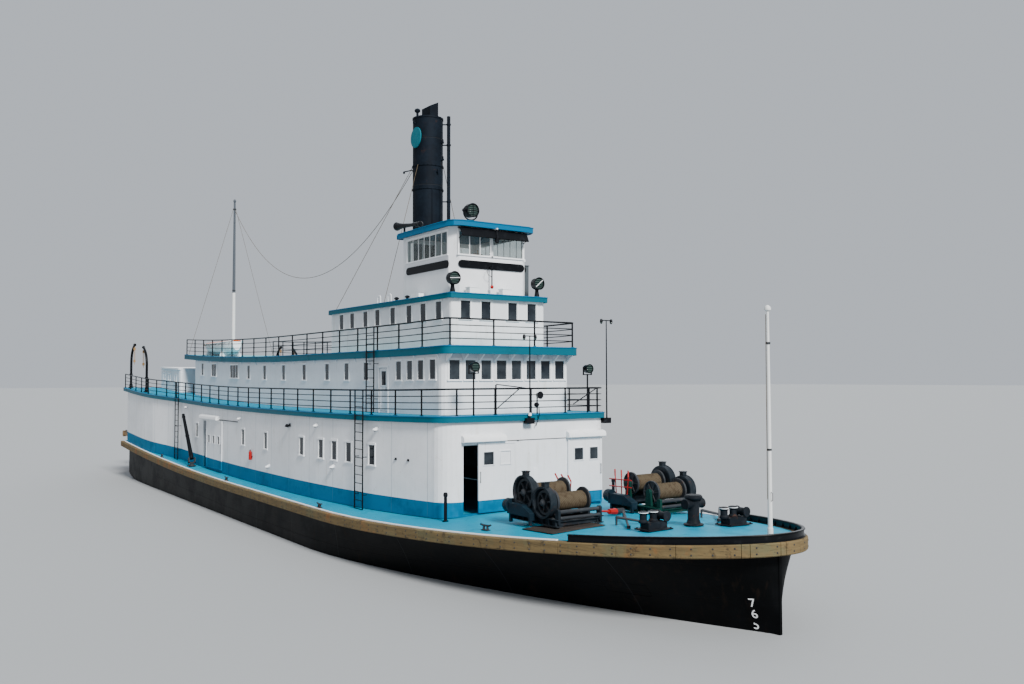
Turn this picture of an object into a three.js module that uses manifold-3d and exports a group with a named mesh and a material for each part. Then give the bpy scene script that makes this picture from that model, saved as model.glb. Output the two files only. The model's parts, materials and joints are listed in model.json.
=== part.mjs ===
// A sternwheel steam tug at half size: steel hull, timber guard, three wooden decks of houses,
// pilothouse, stack, two deck winches and the stern wheel with its rudders.
// Lengths below are metres on the full-size boat. x runs forward from the stem, so it is
// negative aft, y runs to port from the centreline, and z is the height over the waterline.
import * as THREE from 'three';
import { mergeVertices } from 'three/addons/utils/BufferGeometryUtils.js';
import Module from 'manifold-3d';

const wasm = await Module();
wasm.setup();

// Scale and reference planes
const MODEL_MM = 500; // model millimetres for one full-size metre, a scale of 1:2
const OVERALL = 66.8; // length from the guard's tip to the wheel's last bucket
const BOW_OVERHANG = 0.55; // deck ahead of the stem
const DRAUGHT = 1.42;
const GAP = 0.003; // joint between neighbouring pieces
const SEAT = 0.01; // joint under and over the walls, whose edges are chords of the sheer
const FOOT = 0.03; // joint under what stands on a sloping deck
const STATION = 2.5; // spacing of the frames that every long piece is built on
const STATION_MIN = 0.4; // least distance of a frame from either end

// Hull and main deck
const HALF_BEAM = 6.4;
const HULL_HALF = 6.05;
const ENTRY = 19.5; // length over which the deck grows to its full beam
const BOW_POWER = 1.6; // curve of the deck edge at the bow, 2 for an ellipse
const TRANSOM = -56.8;
const DECK_END = -58.2;
const DECK_CROWN = 2.2; // height of the main deck on the centreline amidships
const CAMBER = 0.3;
const GUARD_DEPTH = 0.4;
const GUARD_THICK = 0.3;
const BOW_RAIL = { inset: 0.06, width: 0.16, height: 0.24, end: -5.2 };
const FORE_SHEER = { from: -20, rise: 0.0015 };
const AFT_SHEER = { from: -30, rise: 0.0011 };
const ROOF_SHEER = 0.6; // share of the decks' sheer that the officers' house roof keeps
const PILOT_ROOF_SLOPE = 0.004;

// Houses and upper decks: front and back ends, half width, and deck heights amidships
const SECOND_TOP = 6.03;
const THIRD_TOP = 8.86;
const FOURTH_TOP = 11.16;
const PILOT_ROOF_TOP = 14.2;
const MAIN_HOUSE = { front: -12.54, back: -57.3, corner: 0.85, wall: 0.14 };
const SECOND_HOUSE = { front: -14.13, back: -49.2, half: 3.27, corner: 0.3, wall: 0.12 };
const TEXAS = { front: -14.86, back: -27.1, half: 2.43, corner: 0.12, wall: 0.1 };
const PILOT = { front: -15.46, back: -19.9, half: 2.0, corner: 0.33, wall: 0.1 };
const AFT_CABIN = { front: -52, back: -57.4, half: 3.6, corner: 0.2, wall: 0.12, top: 8.1 };
const AFT_CABIN_ROOF = { thick: 0.12, lap: 0.05, eave: 0.1, sheer: 0.5 };
const AFT_CABIN_WAY = { half: 0.45, z: [-0.1, 1.1] };
// Half width of the main house amidships, and where it narrows forward and widens at the stern
const HOUSE_SIDE = { half: 5.3, foreFrom: -27, foreTo: -12.54, narrowing: 1.25 };
const HOUSE_STERN = { from: -44, length: 8, widening: 0.8 };
const DECK_THICK = { second: 0.19, third: 0.3, fourth: 0.2, pilot: 0.28 };
const CORNER_STEPS = 7; // flats round the main house's broad front corners

// Stern wheel
const WHEEL = {
  x: -62.4, z: 3.15, radius: 3.85, half: 3.95, arms: 14, bucket: 0.8, rings: [-1, 0, 1],
};
const TIMBER_Y = 4.6;
const CRANK = 0.85;

const sheer = (x) => {
  if (x > FORE_SHEER.from) return FORE_SHEER.rise * (x - FORE_SHEER.from) ** 2;
  if (x < AFT_SHEER.from) return AFT_SHEER.rise * (x - AFT_SHEER.from) ** 2;
  return 0;
};
const clamp01 = (t) => Math.min(1, Math.max(0, t));
const smooth = (t) => clamp01(t) ** 2 * (3 - 2 * clamp01(t));

// Half breadth of the guard's outer face: a broad round bow and parallel sides
function guardHalf(x) {
  const t = clamp01((BOW_OVERHANG - x) / ENTRY);
  return HALF_BEAM * Math.sqrt(1 - (1 - t) ** BOW_POWER);
}

// Half breadth of the main house: it follows the deck edge forward and flares at the stern
function houseHalf(x) {
  const { half, foreFrom, foreTo, narrowing } = HOUSE_SIDE;
  const fore = Math.max(0, (x - foreFrom) / (foreTo - foreFrom));
  const aft = smooth((HOUSE_STERN.from - x) / HOUSE_STERN.length);
  return half - narrowing * fore ** 2 + HOUSE_STERN.widening * aft;
}

const deckZ = (x, y) => DECK_CROWN + sheer(x) - CAMBER * (y / HALF_BEAM) ** 2;
const edgeZ = (x) => deckZ(x, guardHalf(x));

// The frames from one end to the other, with both ends
function stations(from, to) {
  const list = [from];
  const first = Math.floor(from / STATION) * STATION;
  for (let x = first; x > to + STATION_MIN; x -= STATION) {
    if (x < from - STATION_MIN) list.push(x);
  }
  return [...list, to];
}

// Solids

function meshFrom(vertices, faces) {
  const geometry = new THREE.BufferGeometry();
  geometry.setAttribute('position', new THREE.Float32BufferAttribute(vertices.flat(), 3));
  let volume = 0;
  for (const [a, b, c] of faces) {
    const va = new THREE.Vector3(...vertices[a]);
    volume += va.dot(new THREE.Vector3(...vertices[b]).cross(new THREE.Vector3(...vertices[c])));
  }
  geometry.setIndex(volume < 0 ? faces.flatMap(([a, b, c]) => [a, c, b]) : faces.flat());
  return geometry;
}

// Skin over equal rings of points, closed on itself or capped at both ends
function loft(rings, closed = false) {
  const n = rings[0].length;
  const faces = [];
  const last = closed ? rings.length : rings.length - 1;
  for (let i = 0; i < last; i += 1) {
    const here = i * n;
    const next = ((i + 1) % rings.length) * n;
    for (let j = 0; j < n; j += 1) {
      const k = (j + 1) % n;
      faces.push([here + j, next + j, next + k], [here + j, next + k, here + k]);
    }
  }
  if (!closed) {
    const end = (rings.length - 1) * n;
    for (const [a, b, c] of capTriangles(rings[0])) faces.push([a, b, c]);
    for (const [a, b, c] of capTriangles(rings.at(-1))) faces.push([end + a, end + c, end + b]);
  }
  return meshFrom(rings.flat(), faces);
}

// Triangles over one flat ring, all of them turned one way against the ring's own turn
function capTriangles(ring) {
  const flat = flatten(ring);
  const turned = THREE.ShapeUtils.isClockWise(flat);
  return THREE.ShapeUtils.triangulateShape(flat, []).map(([a, b, c]) => {
    const area = cross2(flat[a], flat[b], flat[c]);
    return (area > 0) !== turned ? [a, b, c] : [a, c, b];
  });
}

const cross2 = (a, b, c) => (b.x - a.x) * (c.y - a.y) - (b.y - a.y) * (c.x - a.x);

// The ring's points in the plane that it fills best
function flatten(ring) {
  const size = [0, 1, 2].map((k) => {
    const places = ring.map((p) => p[k]);
    return Math.max(...places) - Math.min(...places);
  });
  const drop = size.indexOf(Math.min(...size));
  const [u, v] = [0, 1, 2].filter((k) => k !== drop);
  return ring.map((p) => new THREE.Vector2(p[u], p[v]));
}

function toManifold(geometry) {
  const bare = new THREE.BufferGeometry();
  bare.setAttribute('position', geometry.getAttribute('position'));
  bare.setIndex(geometry.getIndex());
  const merged = mergeVertices(bare, 1e-5);
  const mesh = new wasm.Mesh({
    numProp: 3,
    vertProperties: new Float32Array(merged.getAttribute('position').array),
    triVerts: new Uint32Array(merged.getIndex().array),
  });
  mesh.merge();
  return new wasm.Manifold(mesh);
}

function toGeometry(manifold) {
  const mesh = manifold.getMesh();
  const geometry = new THREE.BufferGeometry();
  geometry.setAttribute('position', new THREE.BufferAttribute(new Float32Array(mesh.vertProperties), 3));
  geometry.setIndex(new THREE.BufferAttribute(new Uint32Array(mesh.triVerts), 1));
  return geometry;
}

const join = (parts) => toGeometry(parts.map(toManifold).reduce((sum, part) => sum.add(part)));

function cut(body, tools) {
  const start = toManifold(body);
  return toGeometry(tools.map(toManifold).reduce((rest, tool) => rest.subtract(tool), start));
}

function box([x0, x1], [y0, y1], [z0, z1]) {
  const shape = new THREE.BoxGeometry(Math.abs(x1 - x0), Math.abs(y1 - y0), Math.abs(z1 - z0));
  return shape.translate((x0 + x1) / 2, (y0 + y1) / 2, (z0 + z1) / 2);
}

// A round bar between two points
function bar(from, to, radius, sides = 8, topRadius = radius) {
  const a = new THREE.Vector3(...from);
  const b = new THREE.Vector3(...to);
  const along = b.clone().sub(a);
  const shape = new THREE.CylinderGeometry(topRadius, radius, along.length(), sides);
  const upright = new THREE.Vector3(0, 1, 0);
  const turn = new THREE.Quaternion().setFromUnitVectors(upright, along.clone().normalize());
  return shape.applyQuaternion(turn).translate(...a.add(b).multiplyScalar(0.5).toArray());
}

// A disc or drum whose axis lies athwart the boat
const drum = (x, z, [y0, y1], radius, sides = 20) => bar([x, y0, z], [x, y1, z], radius, sides);

// A square bar that follows a path of points
function rail(path, width, height) {
  const rings = path.map(([x, y, z], i) => {
    const [nx, ny] = pathNormal(path, i);
    const w = width / 2;
    const h = height / 2;
    return [
      [x + nx * w, y + ny * w, z - h],
      [x + nx * w, y + ny * w, z + h],
      [x - nx * w, y - ny * w, z + h],
      [x - nx * w, y - ny * w, z - h],
    ];
  });
  return loft(rings);
}

// Level normal of a path at one of its points, stretched so that its sides stay parallel
function pathNormal(path, i, closed = false) {
  const n = path.length;
  const before = closed ? path[(i + n - 1) % n] : path[Math.max(0, i - 1)];
  const after = closed ? path[(i + 1) % n] : path[Math.min(n - 1, i + 1)];
  const here = path[i];
  const one = edgeNormal(before, here) ?? edgeNormal(here, after);
  const two = edgeNormal(here, after) ?? one;
  const sum = [one[0] + two[0], one[1] + two[1]];
  const scale = 2 / (sum[0] ** 2 + sum[1] ** 2);
  return [sum[0] * scale, sum[1] * scale];
}

function edgeNormal(a, b) {
  const dx = b[0] - a[0];
  const dy = b[1] - a[1];
  const length = Math.hypot(dx, dy);
  return length < 1e-6 ? null : [-dy / length, dx / length];
}

// Plans

// A house seen from above, from the middle of its back wall by the port side to the front and round
function housePlan({ front, back, corner }, half, steps = 4) {
  const side = stations(front - corner, back).reverse().map((x) => [x, half(x)]);
  const arc = [];
  const cy = half(front - corner) - corner;
  for (let i = 1; i <= steps; i += 1) {
    const angle = (Math.PI / 2) * (1 - i / steps);
    arc.push([front - corner + corner * Math.cos(angle), cy + corner * Math.sin(angle)]);
  }
  const port = [[back, 0], [back, half(back) / 2], ...side, ...arc, [front, cy / 2], [front, 0]];
  return [...port, ...port.slice(1, -1).reverse().map(([x, y]) => [x, -y])];
}

// Standing walls round a plan, open at the bottom and the top
function walls(plan, thickness, bottom, top) {
  const rings = plan.map(([x, y], i) => {
    const [nx, ny] = pathNormal(plan, i, true);
    const inner = [x - nx * thickness, y - ny * thickness];
    return [
      [x, y, bottom(x, y)],
      [x, y, top(x)],
      [...inner, top(inner[0])],
      [...inner, bottom(...inner)],
    ];
  });
  return loft(rings, true);
}

// A deck as wide as the plan's own stations, with its top and underside
function slab(plan, top, thickness, overhang = 0) {
  const port = plan.filter(([, y]) => y > 0.01);
  const back = port[0][0];
  const rows = port.map(([x, y]) => [x === back ? x - overhang : x, y + overhang]);
  const [frontX, frontY] = port.at(-1);
  rows.push([frontX + overhang, frontY + overhang * 0.5]);
  const sorted = [];
  for (const [x, y] of rows) {
    const twin = sorted.find(([px]) => Math.abs(px - x) < 0.02);
    if (twin) twin[1] = Math.max(twin[1], y);
    else sorted.push([x, y]);
  }
  return loft(sorted.map(([x, y]) => [
    [x, -y, top(x) - thickness],
    [x, y, top(x) - thickness],
    [x, y, top(x)],
    [x, -y, top(x)],
  ]));
}

// Outline of the guard on the starboard side, from the tip to the stern
function guardPath() {
  const path = [];
  const steps = 14;
  for (let i = 0; i <= steps; i += 1) {
    const x = BOW_OVERHANG - ENTRY * (i / steps) ** 2;
    path.push([x, -guardHalf(x)]);
  }
  for (const x of stations(path.at(-1)[0], DECK_END).slice(1)) path.push([x, -guardHalf(x)]);
  return path;
}

// The same outline moved in by a distance, with its point on the centreline kept there
function insetPath(distance) {
  const half = guardPath();
  const whole = [...half.slice(1).reverse().map(([x, y]) => [x, -y]), ...half];
  return half.map((point, i) => {
    const [nx, ny] = pathNormal(whole, i + half.length - 1);
    return [point[0] - nx * distance, i === 0 ? 0 : point[1] - ny * distance];
  });
}

// Hull

// Sections: height over the keel as a share of the depth, and how far it leans to the deck line
const HULL_LEVELS = [
  { up: 0, fullness: 0, side: 0.9, back: 1.2 },
  { up: 0.1, fullness: 0, side: 0.975, back: 0.7 },
  { up: 0.25, fullness: 0, side: 1, back: 0.3 },
  { up: 0.45, fullness: 0.05, side: 1, back: 0 },
  { up: 0.72, fullness: 0.45, side: 1, back: 0 },
  { up: 1, fullness: 1, side: 1, back: 0 },
];
const STEM_HALF = 0.07;
const RAKE = { from: -44, rise: 1.3, power: 1.3 };
const KEEL_ENTRY = { length: 21, power: 1.5 };
const DECK_ENTRY = 19;
const BOW_FRAMES = [0, -0.35, -0.9, -1.8, -3.2, -5];

function hullHalf(x, { fullness, side, back }) {
  const fine = 1 - (1 - clamp01((-x - back) / KEEL_ENTRY.length)) ** KEEL_ENTRY.power;
  const full = Math.sqrt(1 - (1 - clamp01(-x / DECK_ENTRY)) ** BOW_POWER);
  return Math.max(STEM_HALF, HULL_HALF * side * (fine * (1 - fullness) + full * fullness));
}

function hull() {
  const length = RAKE.from - TRANSOM;
  const rake = (x) => RAKE.rise * clamp01((RAKE.from - x) / length) ** RAKE.power;
  const list = [...BOW_FRAMES, ...stations(-7, TRANSOM)];
  const rings = list.map((x) => {
    const bottom = rake(x) - DRAUGHT;
    const top = edgeZ(x) - GUARD_DEPTH - GAP - SEAT;
    const side = HULL_LEVELS.map((level) => [hullHalf(x, level), bottom + (top - bottom) * level.up]);
    const port = side.map(([y, z]) => [x, y, z]);
    const starboard = side.map(([y, z]) => [x, -y, z]).reverse();
    return [...port, ...starboard];
  });
  return loft(rings);
}

// A closed band round the deck edge from stern to bow to stern, level across its width
function band(distance, width, z0, z1, from = DECK_END) {
  const frames = guardPath().filter(([x]) => x > from - 0.01).map(([x]) => x);
  const outer = insetPath(distance).slice(0, frames.length);
  const inner = insetPath(distance + width).slice(0, frames.length);
  inner[0] = [inner[1][0], 0];
  const starboard = frames.map((x, i) => ({ x, out: outer[i], into: inner[i] }));
  const mirror = ([x, y]) => [x, -y];
  const port = starboard.slice(1).reverse();
  const mirrored = port.map(({ x, out, into }) => ({ x, out: mirror(out), into: mirror(into) }));
  return loft([...mirrored, ...starboard].map(({ x, out, into }) => [
    [...out, z0(x)],
    [...out, z1(x)],
    [...into, z1(x)],
    [...into, z0(x)],
  ]));
}

const guard = () => band(0, GUARD_THICK, (x) => edgeZ(x) - GUARD_DEPTH, edgeZ);

function bowRail() {
  const { inset, width, height, end } = BOW_RAIL;
  return band(inset, width, (x) => edgeZ(x) + GAP, (x) => edgeZ(x) + height, end);
}

function mainDeck() {
  const edge = insetPath(GUARD_THICK + GAP).slice(1);
  return loft(edge.map(([x, y]) => {
    const half = Math.abs(y);
    const under = edgeZ(x) - GUARD_DEPTH;
    const top = [1, 0.5, 0, -0.5, -1].map((k) => [x, k * half, deckZ(x, k * half)]);
    return [[x, -half, under], [x, half, under], ...top];
  }));
}

// Houses

const secondZ = (x) => SECOND_TOP + sheer(x);
const thirdZ = (x) => THIRD_TOP + sheer(x);
const fourthZ = (x) => FOURTH_TOP + sheer(x) * ROOF_SHEER;
const pilotRoofZ = (x) => PILOT_ROOF_TOP - PILOT_ROOF_SLOPE * (PILOT.front - x);

const FRONT_DOOR = { width: 1.84, height: 2.72, starboard: -3.3, port: 1.86, ajar: 0.69, panel: 0.07 };
const SIDE_DOOR = { back: -40.1, width: 3.1, height: 2.85, ajar: 0.9, panel: 0.07 };
const DOOR_SILL = 0.08;
const DOOR_LAP = 0.045; // how far a sliding door covers the wall round its opening
const THROUGH = 0.35; // reach of an opening's cutter to each side of the wall's face
const SMALL_WINDOW = { width: 0.46, low: 3.92, high: 4.78 };
const MAIN_WINDOWS = [-17.5, -19.4, -20.7, -22.0, -24.1, -28.9, -32.5, -41.4];

// Hood boards over the sliding doors, as long as the door and a little more at both ends
const HOOD = { lift: 0.08, height: 0.2, reach: 0.2, root: 0.05 };
const HOOD_ENDS = { front: [-0.05, 0.1], side: [-0.1, 0.2] };

function frontHood(y) {
  const x = MAIN_HOUSE.front;
  const z = frontDoorTop() + HOOD.lift;
  const ends = [y + HOOD_ENDS.front[0], y + FRONT_DOOR.width + HOOD_ENDS.front[1]];
  return box([x - HOOD.root, x + HOOD.reach], ends, [z, z + HOOD.height]);
}

const frontSill = () => deckZ(MAIN_HOUSE.front, FRONT_DOOR.starboard) + DOOR_SILL;
const frontDoorTop = () => frontSill() + FRONT_DOOR.height;
const sideSill = () => deckZ(SIDE_DOOR.back, HOUSE_SIDE.half) + DOOR_SILL;

function sideHood(side) {
  const z = sideSill() + SIDE_DOOR.height + HOOD.lift;
  const y = houseHalf(SIDE_DOOR.back);
  const { back, width } = SIDE_DOOR;
  const ends = [back + HOOD_ENDS.side[0], back + width + HOOD_ENDS.side[1]];
  return box(ends, [side * (y - HOOD.root), side * (y + HOOD.reach)], [z, z + HOOD.height]);
}

function mainHouse() {
  const bottom = (x, y) => deckZ(x, y) + SEAT;
  const top = (x) => secondZ(x) - DECK_THICK.second - SEAT;
  const plan = housePlan(MAIN_HOUSE, houseHalf, CORNER_STEPS);
  const shell = walls(plan, MAIN_HOUSE.wall, bottom, top);
  const holes = [FRONT_DOOR.starboard, FRONT_DOOR.port].map((y) => {
    const across = [y + DOOR_LAP, y + FRONT_DOOR.width - DOOR_LAP];
    return frontHole(MAIN_HOUSE.front, across, [frontSill(), frontDoorTop() - DOOR_LAP]);
  });
  for (const side of [-1, 1]) {
    const along = [SIDE_DOOR.back + DOOR_LAP, SIDE_DOOR.back + SIDE_DOOR.width - DOOR_LAP];
    const y = side * houseHalf(SIDE_DOOR.back);
    const sill = sideSill();
    const upright = [sill, sill + SIDE_DOOR.height - DOOR_LAP];
    holes.push(box(along, [y - THROUGH, y + THROUGH], upright));
    for (const x of MAIN_WINDOWS) holes.push(windowHole(x, side * houseHalf(x), SMALL_WINDOW));
    holes.push(sternWay(side));
  }
  const hoods = [frontHood(FRONT_DOOR.starboard), frontHood(FRONT_DOOR.port), sideHood(1), sideHood(-1)];
  return join([cut(shell, holes), ...hoods]);
}

// The way out through the back wall for the wheel's beam and its pitman arm
const STERN_WAY = { y: [4.3, 5.7], z: [2, 4.2] };

function sternWay(side) {
  return frontHole(MAIN_HOUSE.back, STERN_WAY.y.map((y) => side * y), STERN_WAY.z);
}

// A hole through a wall that faces forward or aft
const frontHole = (x, across, upright) => box([x - THROUGH, x + THROUGH], across, upright);

// A hole through a side wall for a window, with its sill raised by lift
function windowHole(x, y, { width, low, high }, lift = 0) {
  const along = [x - width / 2, x + width / 2];
  return box(along, [y - THROUGH, y + THROUGH], [low + lift, high + lift]);
}

// The door at the after end of a house, on its centreline, from the deck's sill up to head
function aftDoorway({ back }, deck, head) {
  const half = CABIN_DOOR.width / 2;
  return frontHole(back, [-half, half], [deck + DOOR_SILL, head]);
}

const SECOND_WINDOWS = [
  -14.93, -15.94, -16.91, -17.92, -21.18, -23.34, -25.7,
  -28.74, -31.77, -34.84, -37.68, -40.4, -44.4, -47.4,
];
const SECOND_FRONT = { count: 8, pitch: 0.77, width: 0.52, low: 7.52, high: 8.35 };
const SECOND_SIDE = { width: 0.5, low: 7.5, high: 8.34 };
const CABIN_DOOR = { x: -19.4, width: 0.8, height: 1.95 };

function secondHouse() {
  const { half, wall, front } = SECOND_HOUSE;
  const floor = (x) => secondZ(x) + SEAT;
  const top = (x) => thirdZ(x) - DECK_THICK.third - SEAT;
  const shell = walls(housePlan(SECOND_HOUSE, () => half, 3), wall, floor, top);
  const aftDeck = secondZ(SECOND_HOUSE.back);
  const holes = [aftDoorway(SECOND_HOUSE, aftDeck, aftDeck + DOOR_SILL + CABIN_DOOR.height)];
  for (const side of [-1, 1]) {
    for (const x of SECOND_WINDOWS) holes.push(windowHole(x, side * half, SECOND_SIDE, sheer(x)));
    const sill = secondZ(CABIN_DOOR.x) + DOOR_SILL;
    const door = { width: CABIN_DOOR.width, low: sill, high: sill + CABIN_DOOR.height };
    holes.push(windowHole(CABIN_DOOR.x, side * half, door));
  }
  for (let i = 0; i < SECOND_FRONT.count; i += 1) {
    const y = (i - (SECOND_FRONT.count - 1) / 2) * SECOND_FRONT.pitch;
    const across = [y - SECOND_FRONT.width / 2, y + SECOND_FRONT.width / 2];
    holes.push(frontHole(front, across, [SECOND_FRONT.low, SECOND_FRONT.high]));
  }
  return cut(shell, holes);
}

const TEXAS_WINDOWS = [-15.89, -17.24, -18.54, -20.13, -21.71, -23.02, -24.55, -25.83];
const TEXAS_FRONT = [-1.72, -0.69, 0.69, 1.72];
const TEXAS_PANE = { width: 0.5, low: 10.1, high: 10.88 };
const TEXAS_SEAM = -15.35; // joint between the front wall with its corners and the rest

// The officers' house in two pieces: its front wall, and its sides with the back wall, whose
// doorway runs up to the roof
function texasPart(isFront) {
  const [inner, outer] = isFront ? [-40, TEXAS_SEAM + GAP / 2] : [TEXAS_SEAM - GAP / 2, 0];
  return cut(texasWalls(), [box([inner, outer], [-5, 5], [0, 20])]);
}

function texasWalls() {
  const { half, wall, front } = TEXAS;
  const floor = (x) => thirdZ(x) + SEAT;
  const top = (x) => fourthZ(x) - DECK_THICK.fourth - SEAT;
  const shell = walls(housePlan(TEXAS, () => half, 2), wall, floor, top);
  const holes = [aftDoorway(TEXAS, thirdZ(TEXAS.back), fourthZ(TEXAS.back))];
  for (const side of [-1, 1]) {
    for (const x of TEXAS_WINDOWS) holes.push(windowHole(x, side * half, TEXAS_PANE));
  }
  for (const y of TEXAS_FRONT) {
    const across = [y - TEXAS_PANE.width / 2, y + TEXAS_PANE.width / 2];
    holes.push(frontHole(front, across, [TEXAS_PANE.low, TEXAS_PANE.high]));
  }
  return cut(shell, holes);
}

const PILOT_PANE = { low: 12.88, high: 13.78, post: 0.12, backPost: 0.6, sideEnds: [0.4, 0.1] };

function pilothouse() {
  const { front, back, corner, wall } = PILOT;
  const floor = (x) => fourthZ(x) + SEAT;
  const top = (x) => pilotRoofZ(x) - DECK_THICK.pilot - SEAT;
  const shell = walls(housePlan(PILOT, () => PILOT.half, 1), wall, floor, top);
  const z = [PILOT_PANE.low, PILOT_PANE.high];
  const reach = PILOT.half - corner;
  const holes = [];
  for (const side of [-1, 1]) {
    holes.push(frontHole(front, [side * PILOT_PANE.post / 2, side * reach], z));
    holes.push(frontHole(back, [side * PILOT_PANE.backPost / 2, side * reach], z));
    const along = [back + PILOT_PANE.sideEnds[0], front - corner - PILOT_PANE.sideEnds[1]];
    holes.push(box(along, [side * (PILOT.half - THROUGH), side * (PILOT.half + THROUGH)], z));
  }
  return cut(shell, holes);
}

function aftCabin() {
  const { back, half, wall, top } = AFT_CABIN;
  const { thick, lap, eave } = AFT_CABIN_ROOF;
  const plan = housePlan(AFT_CABIN, () => half, 2);
  const roofZ = (x) => top + sheer(x) * AFT_CABIN_ROOF.sheer;
  const shell = walls(plan, wall, (x) => secondZ(x) + SEAT, (x) => roofZ(x) - lap);
  const roof = slab(plan, roofZ, thick, eave);
  const way = AFT_CABIN_WAY;
  const upright = way.z.map((z) => secondZ(back) + z);
  return cut(join([shell, roof]), [frontHole(back, [-way.half, way.half], upright)]);
}

const SECOND_DECK = { ...MAIN_HOUSE, back: -58.2 };
const THIRD_DECK = { front: -13.7, back: -51.4, half: 3.3, corner: 0.3 };
const TEXAS_ROOF = { ...TEXAS, front: TEXAS.front + 0.05 };
const PILOT_ROOF = { ...PILOT, front: PILOT.front + 0.15, back: PILOT.back - 0.15, corner: 0.3 };
const EAVE = 0.12; // how far a deck or roof stands out past its plan
const PILOT_EAVE = 0.15;

const widthOf = ({ half }) => () => half;
const secondPlan = () => housePlan(SECOND_DECK, houseHalf, CORNER_STEPS);
const secondDeck = () => slab(secondPlan(), secondZ, DECK_THICK.second, EAVE);
const thirdPlan = (inset = 0) => {
  const plan = { ...THIRD_DECK, front: THIRD_DECK.front - inset, back: THIRD_DECK.back + inset };
  return housePlan(plan, () => THIRD_DECK.half - inset, 3);
};
const thirdDeck = () => slab(thirdPlan(), thirdZ, DECK_THICK.third, EAVE);

function texasRoof() {
  const plan = housePlan(TEXAS_ROOF, widthOf(TEXAS_ROOF), 2);
  return slab(plan, fourthZ, DECK_THICK.fourth, EAVE);
}

function pilotRoof() {
  const plan = housePlan(PILOT_ROOF, widthOf(PILOT_ROOF), 2);
  return slab(plan, pilotRoofZ, DECK_THICK.pilot, PILOT_EAVE);
}

// Doors: a sliding panel runs on the wall's outer face under its hood

const DOOR_PLAY = 0.02;
const DOOR_RISE = 0.05; // how far a sliding door stands above its opening

function frontDoor(y, shift) {
  const x = MAIN_HOUSE.front + DOOR_PLAY;
  const across = [y + shift, y + shift + FRONT_DOOR.width];
  const upright = [frontSill() + DOOR_PLAY, frontDoorTop() + DOOR_RISE];
  return box([x, x + FRONT_DOOR.panel], across, upright);
}

function sideDoor(side) {
  const y = houseHalf(SIDE_DOOR.back) + DOOR_PLAY;
  const x = SIDE_DOOR.back + SIDE_DOOR.ajar;
  const across = [side * y, side * (y + SIDE_DOOR.panel)];
  const upright = [sideSill() + DOOR_PLAY, sideSill() + SIDE_DOOR.height + DOOR_RISE];
  return box([x, x + SIDE_DOOR.width], across, upright);
}

// Thickness of a hinged door's leaf, and the gaps on its outer face, beside it and under it
const LEAF = { thick: 0.05, inset: 0.01, beside: 0.012, under: 0.02 };

function cabinDoor(side) {
  const { x, width, height } = CABIN_DOOR;
  const y = SECOND_HOUSE.half - LEAF.inset;
  const sill = secondZ(x) + DOOR_SILL;
  const reach = width / 2 - LEAF.beside;
  const upright = [sill + LEAF.under, sill + height - LEAF.under];
  return box([x - reach, x + reach], [side * (y - LEAF.thick), side * y], upright);
}

// Rails and ladders

const RAIL_BAR = { top: 0.07, middle: 0.05, postHalf: 0.035 };

// Posts and two rails round a deck edge; the finer rails between them are thin stuff
function railing(path, height, spacing) {
  const { top, middle, postHalf } = RAIL_BAR;
  const parts = [rail(path(height), top, top), rail(path(height / 2), middle, middle)];
  for (const [x, y, z] of postPlaces(path(0), spacing)) {
    const across = [y - postHalf, y + postHalf];
    parts.push(box([x - postHalf, x + postHalf], across, [z + SEAT, z + height]));
  }
  return join(parts);
}

// Points at even steps along a path
function postPlaces(path, spacing) {
  const places = [path[0]];
  let left = spacing;
  for (let i = 1; i < path.length; i += 1) {
    let [x, y, z] = path[i - 1];
    const [bx, by, bz] = path[i];
    let run = Math.hypot(bx - x, by - y);
    while (run > left) {
      const k = left / run;
      [x, y, z] = [x + (bx - x) * k, y + (by - y) * k, z + (bz - z) * k];
      places.push([x, y, z]);
      run -= left;
      left = spacing;
    }
    left -= run;
  }
  return [...places, path.at(-1)];
}

// The edge of a deck as a path, from the back on the port side round the front
function edgePath(plan, z) {
  const backEdge = 2;
  const port = plan.slice(backEdge, plan.length / 2);
  return [...port, ...port.slice().reverse().map(([x, y]) => [x, -y])].map(([x, y]) => [x, y, z(x)]);
}

const RAIL_HEIGHT = { second: 1.05, third: 1.1 };
const RAIL_POSTS = { second: 3.0, third: 3.1 };
const THIRD_RAIL_INSET = 0.02;

function secondRail() {
  const path = (height) => edgePath(secondPlan(), (x) => secondZ(x) + height);
  return railing(path, RAIL_HEIGHT.second, RAIL_POSTS.second);
}

function thirdRail() {
  const path = (height) => edgePath(thirdPlan(THIRD_RAIL_INSET), (x) => thirdZ(x) + height);
  return railing(path, RAIL_HEIGHT.third, RAIL_POSTS.third);
}

// Ladder against a side wall, between two heights
const LADDER = { width: 0.4, stile: 0.03, depth: 0.035, step: 0.42, rung: 0.035, rungDepth: 0.02 };
const MAIN_LADDER = { x: -18.4, off: 0.2, top: 7.1 };
const UPPER_LADDER = { x: -20.5, y: 3.5, top: 9.95 };

function ladder(x, y, bottom, top) {
  const { width, stile, depth, step, rung, rungDepth } = LADDER;
  const parts = [-1, 1].map((k) => {
    const side = x + k * width / 2;
    return box([side - stile, side + stile], [y - depth, y + depth], [bottom, top]);
  });
  for (let i = 1; i <= Math.floor((top - bottom) / step); i += 1) {
    const z = bottom + (i - 0.5) * step;
    const across = [y - rungDepth, y + rungDepth];
    parts.push(box([x - width / 2, x + width / 2], across, [z, z + rung]));
  }
  return join(parts);
}

function mainLadder(side) {
  const { x, off, top } = MAIN_LADDER;
  const y = houseHalf(x) + off;
  return ladder(x, side * y, deckZ(x, y) + SEAT, top);
}

function upperLadder(side) {
  const { x, y, top } = UPPER_LADDER;
  return ladder(x, side * y, secondZ(x) + SEAT, top);
}

// Deck machinery

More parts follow.
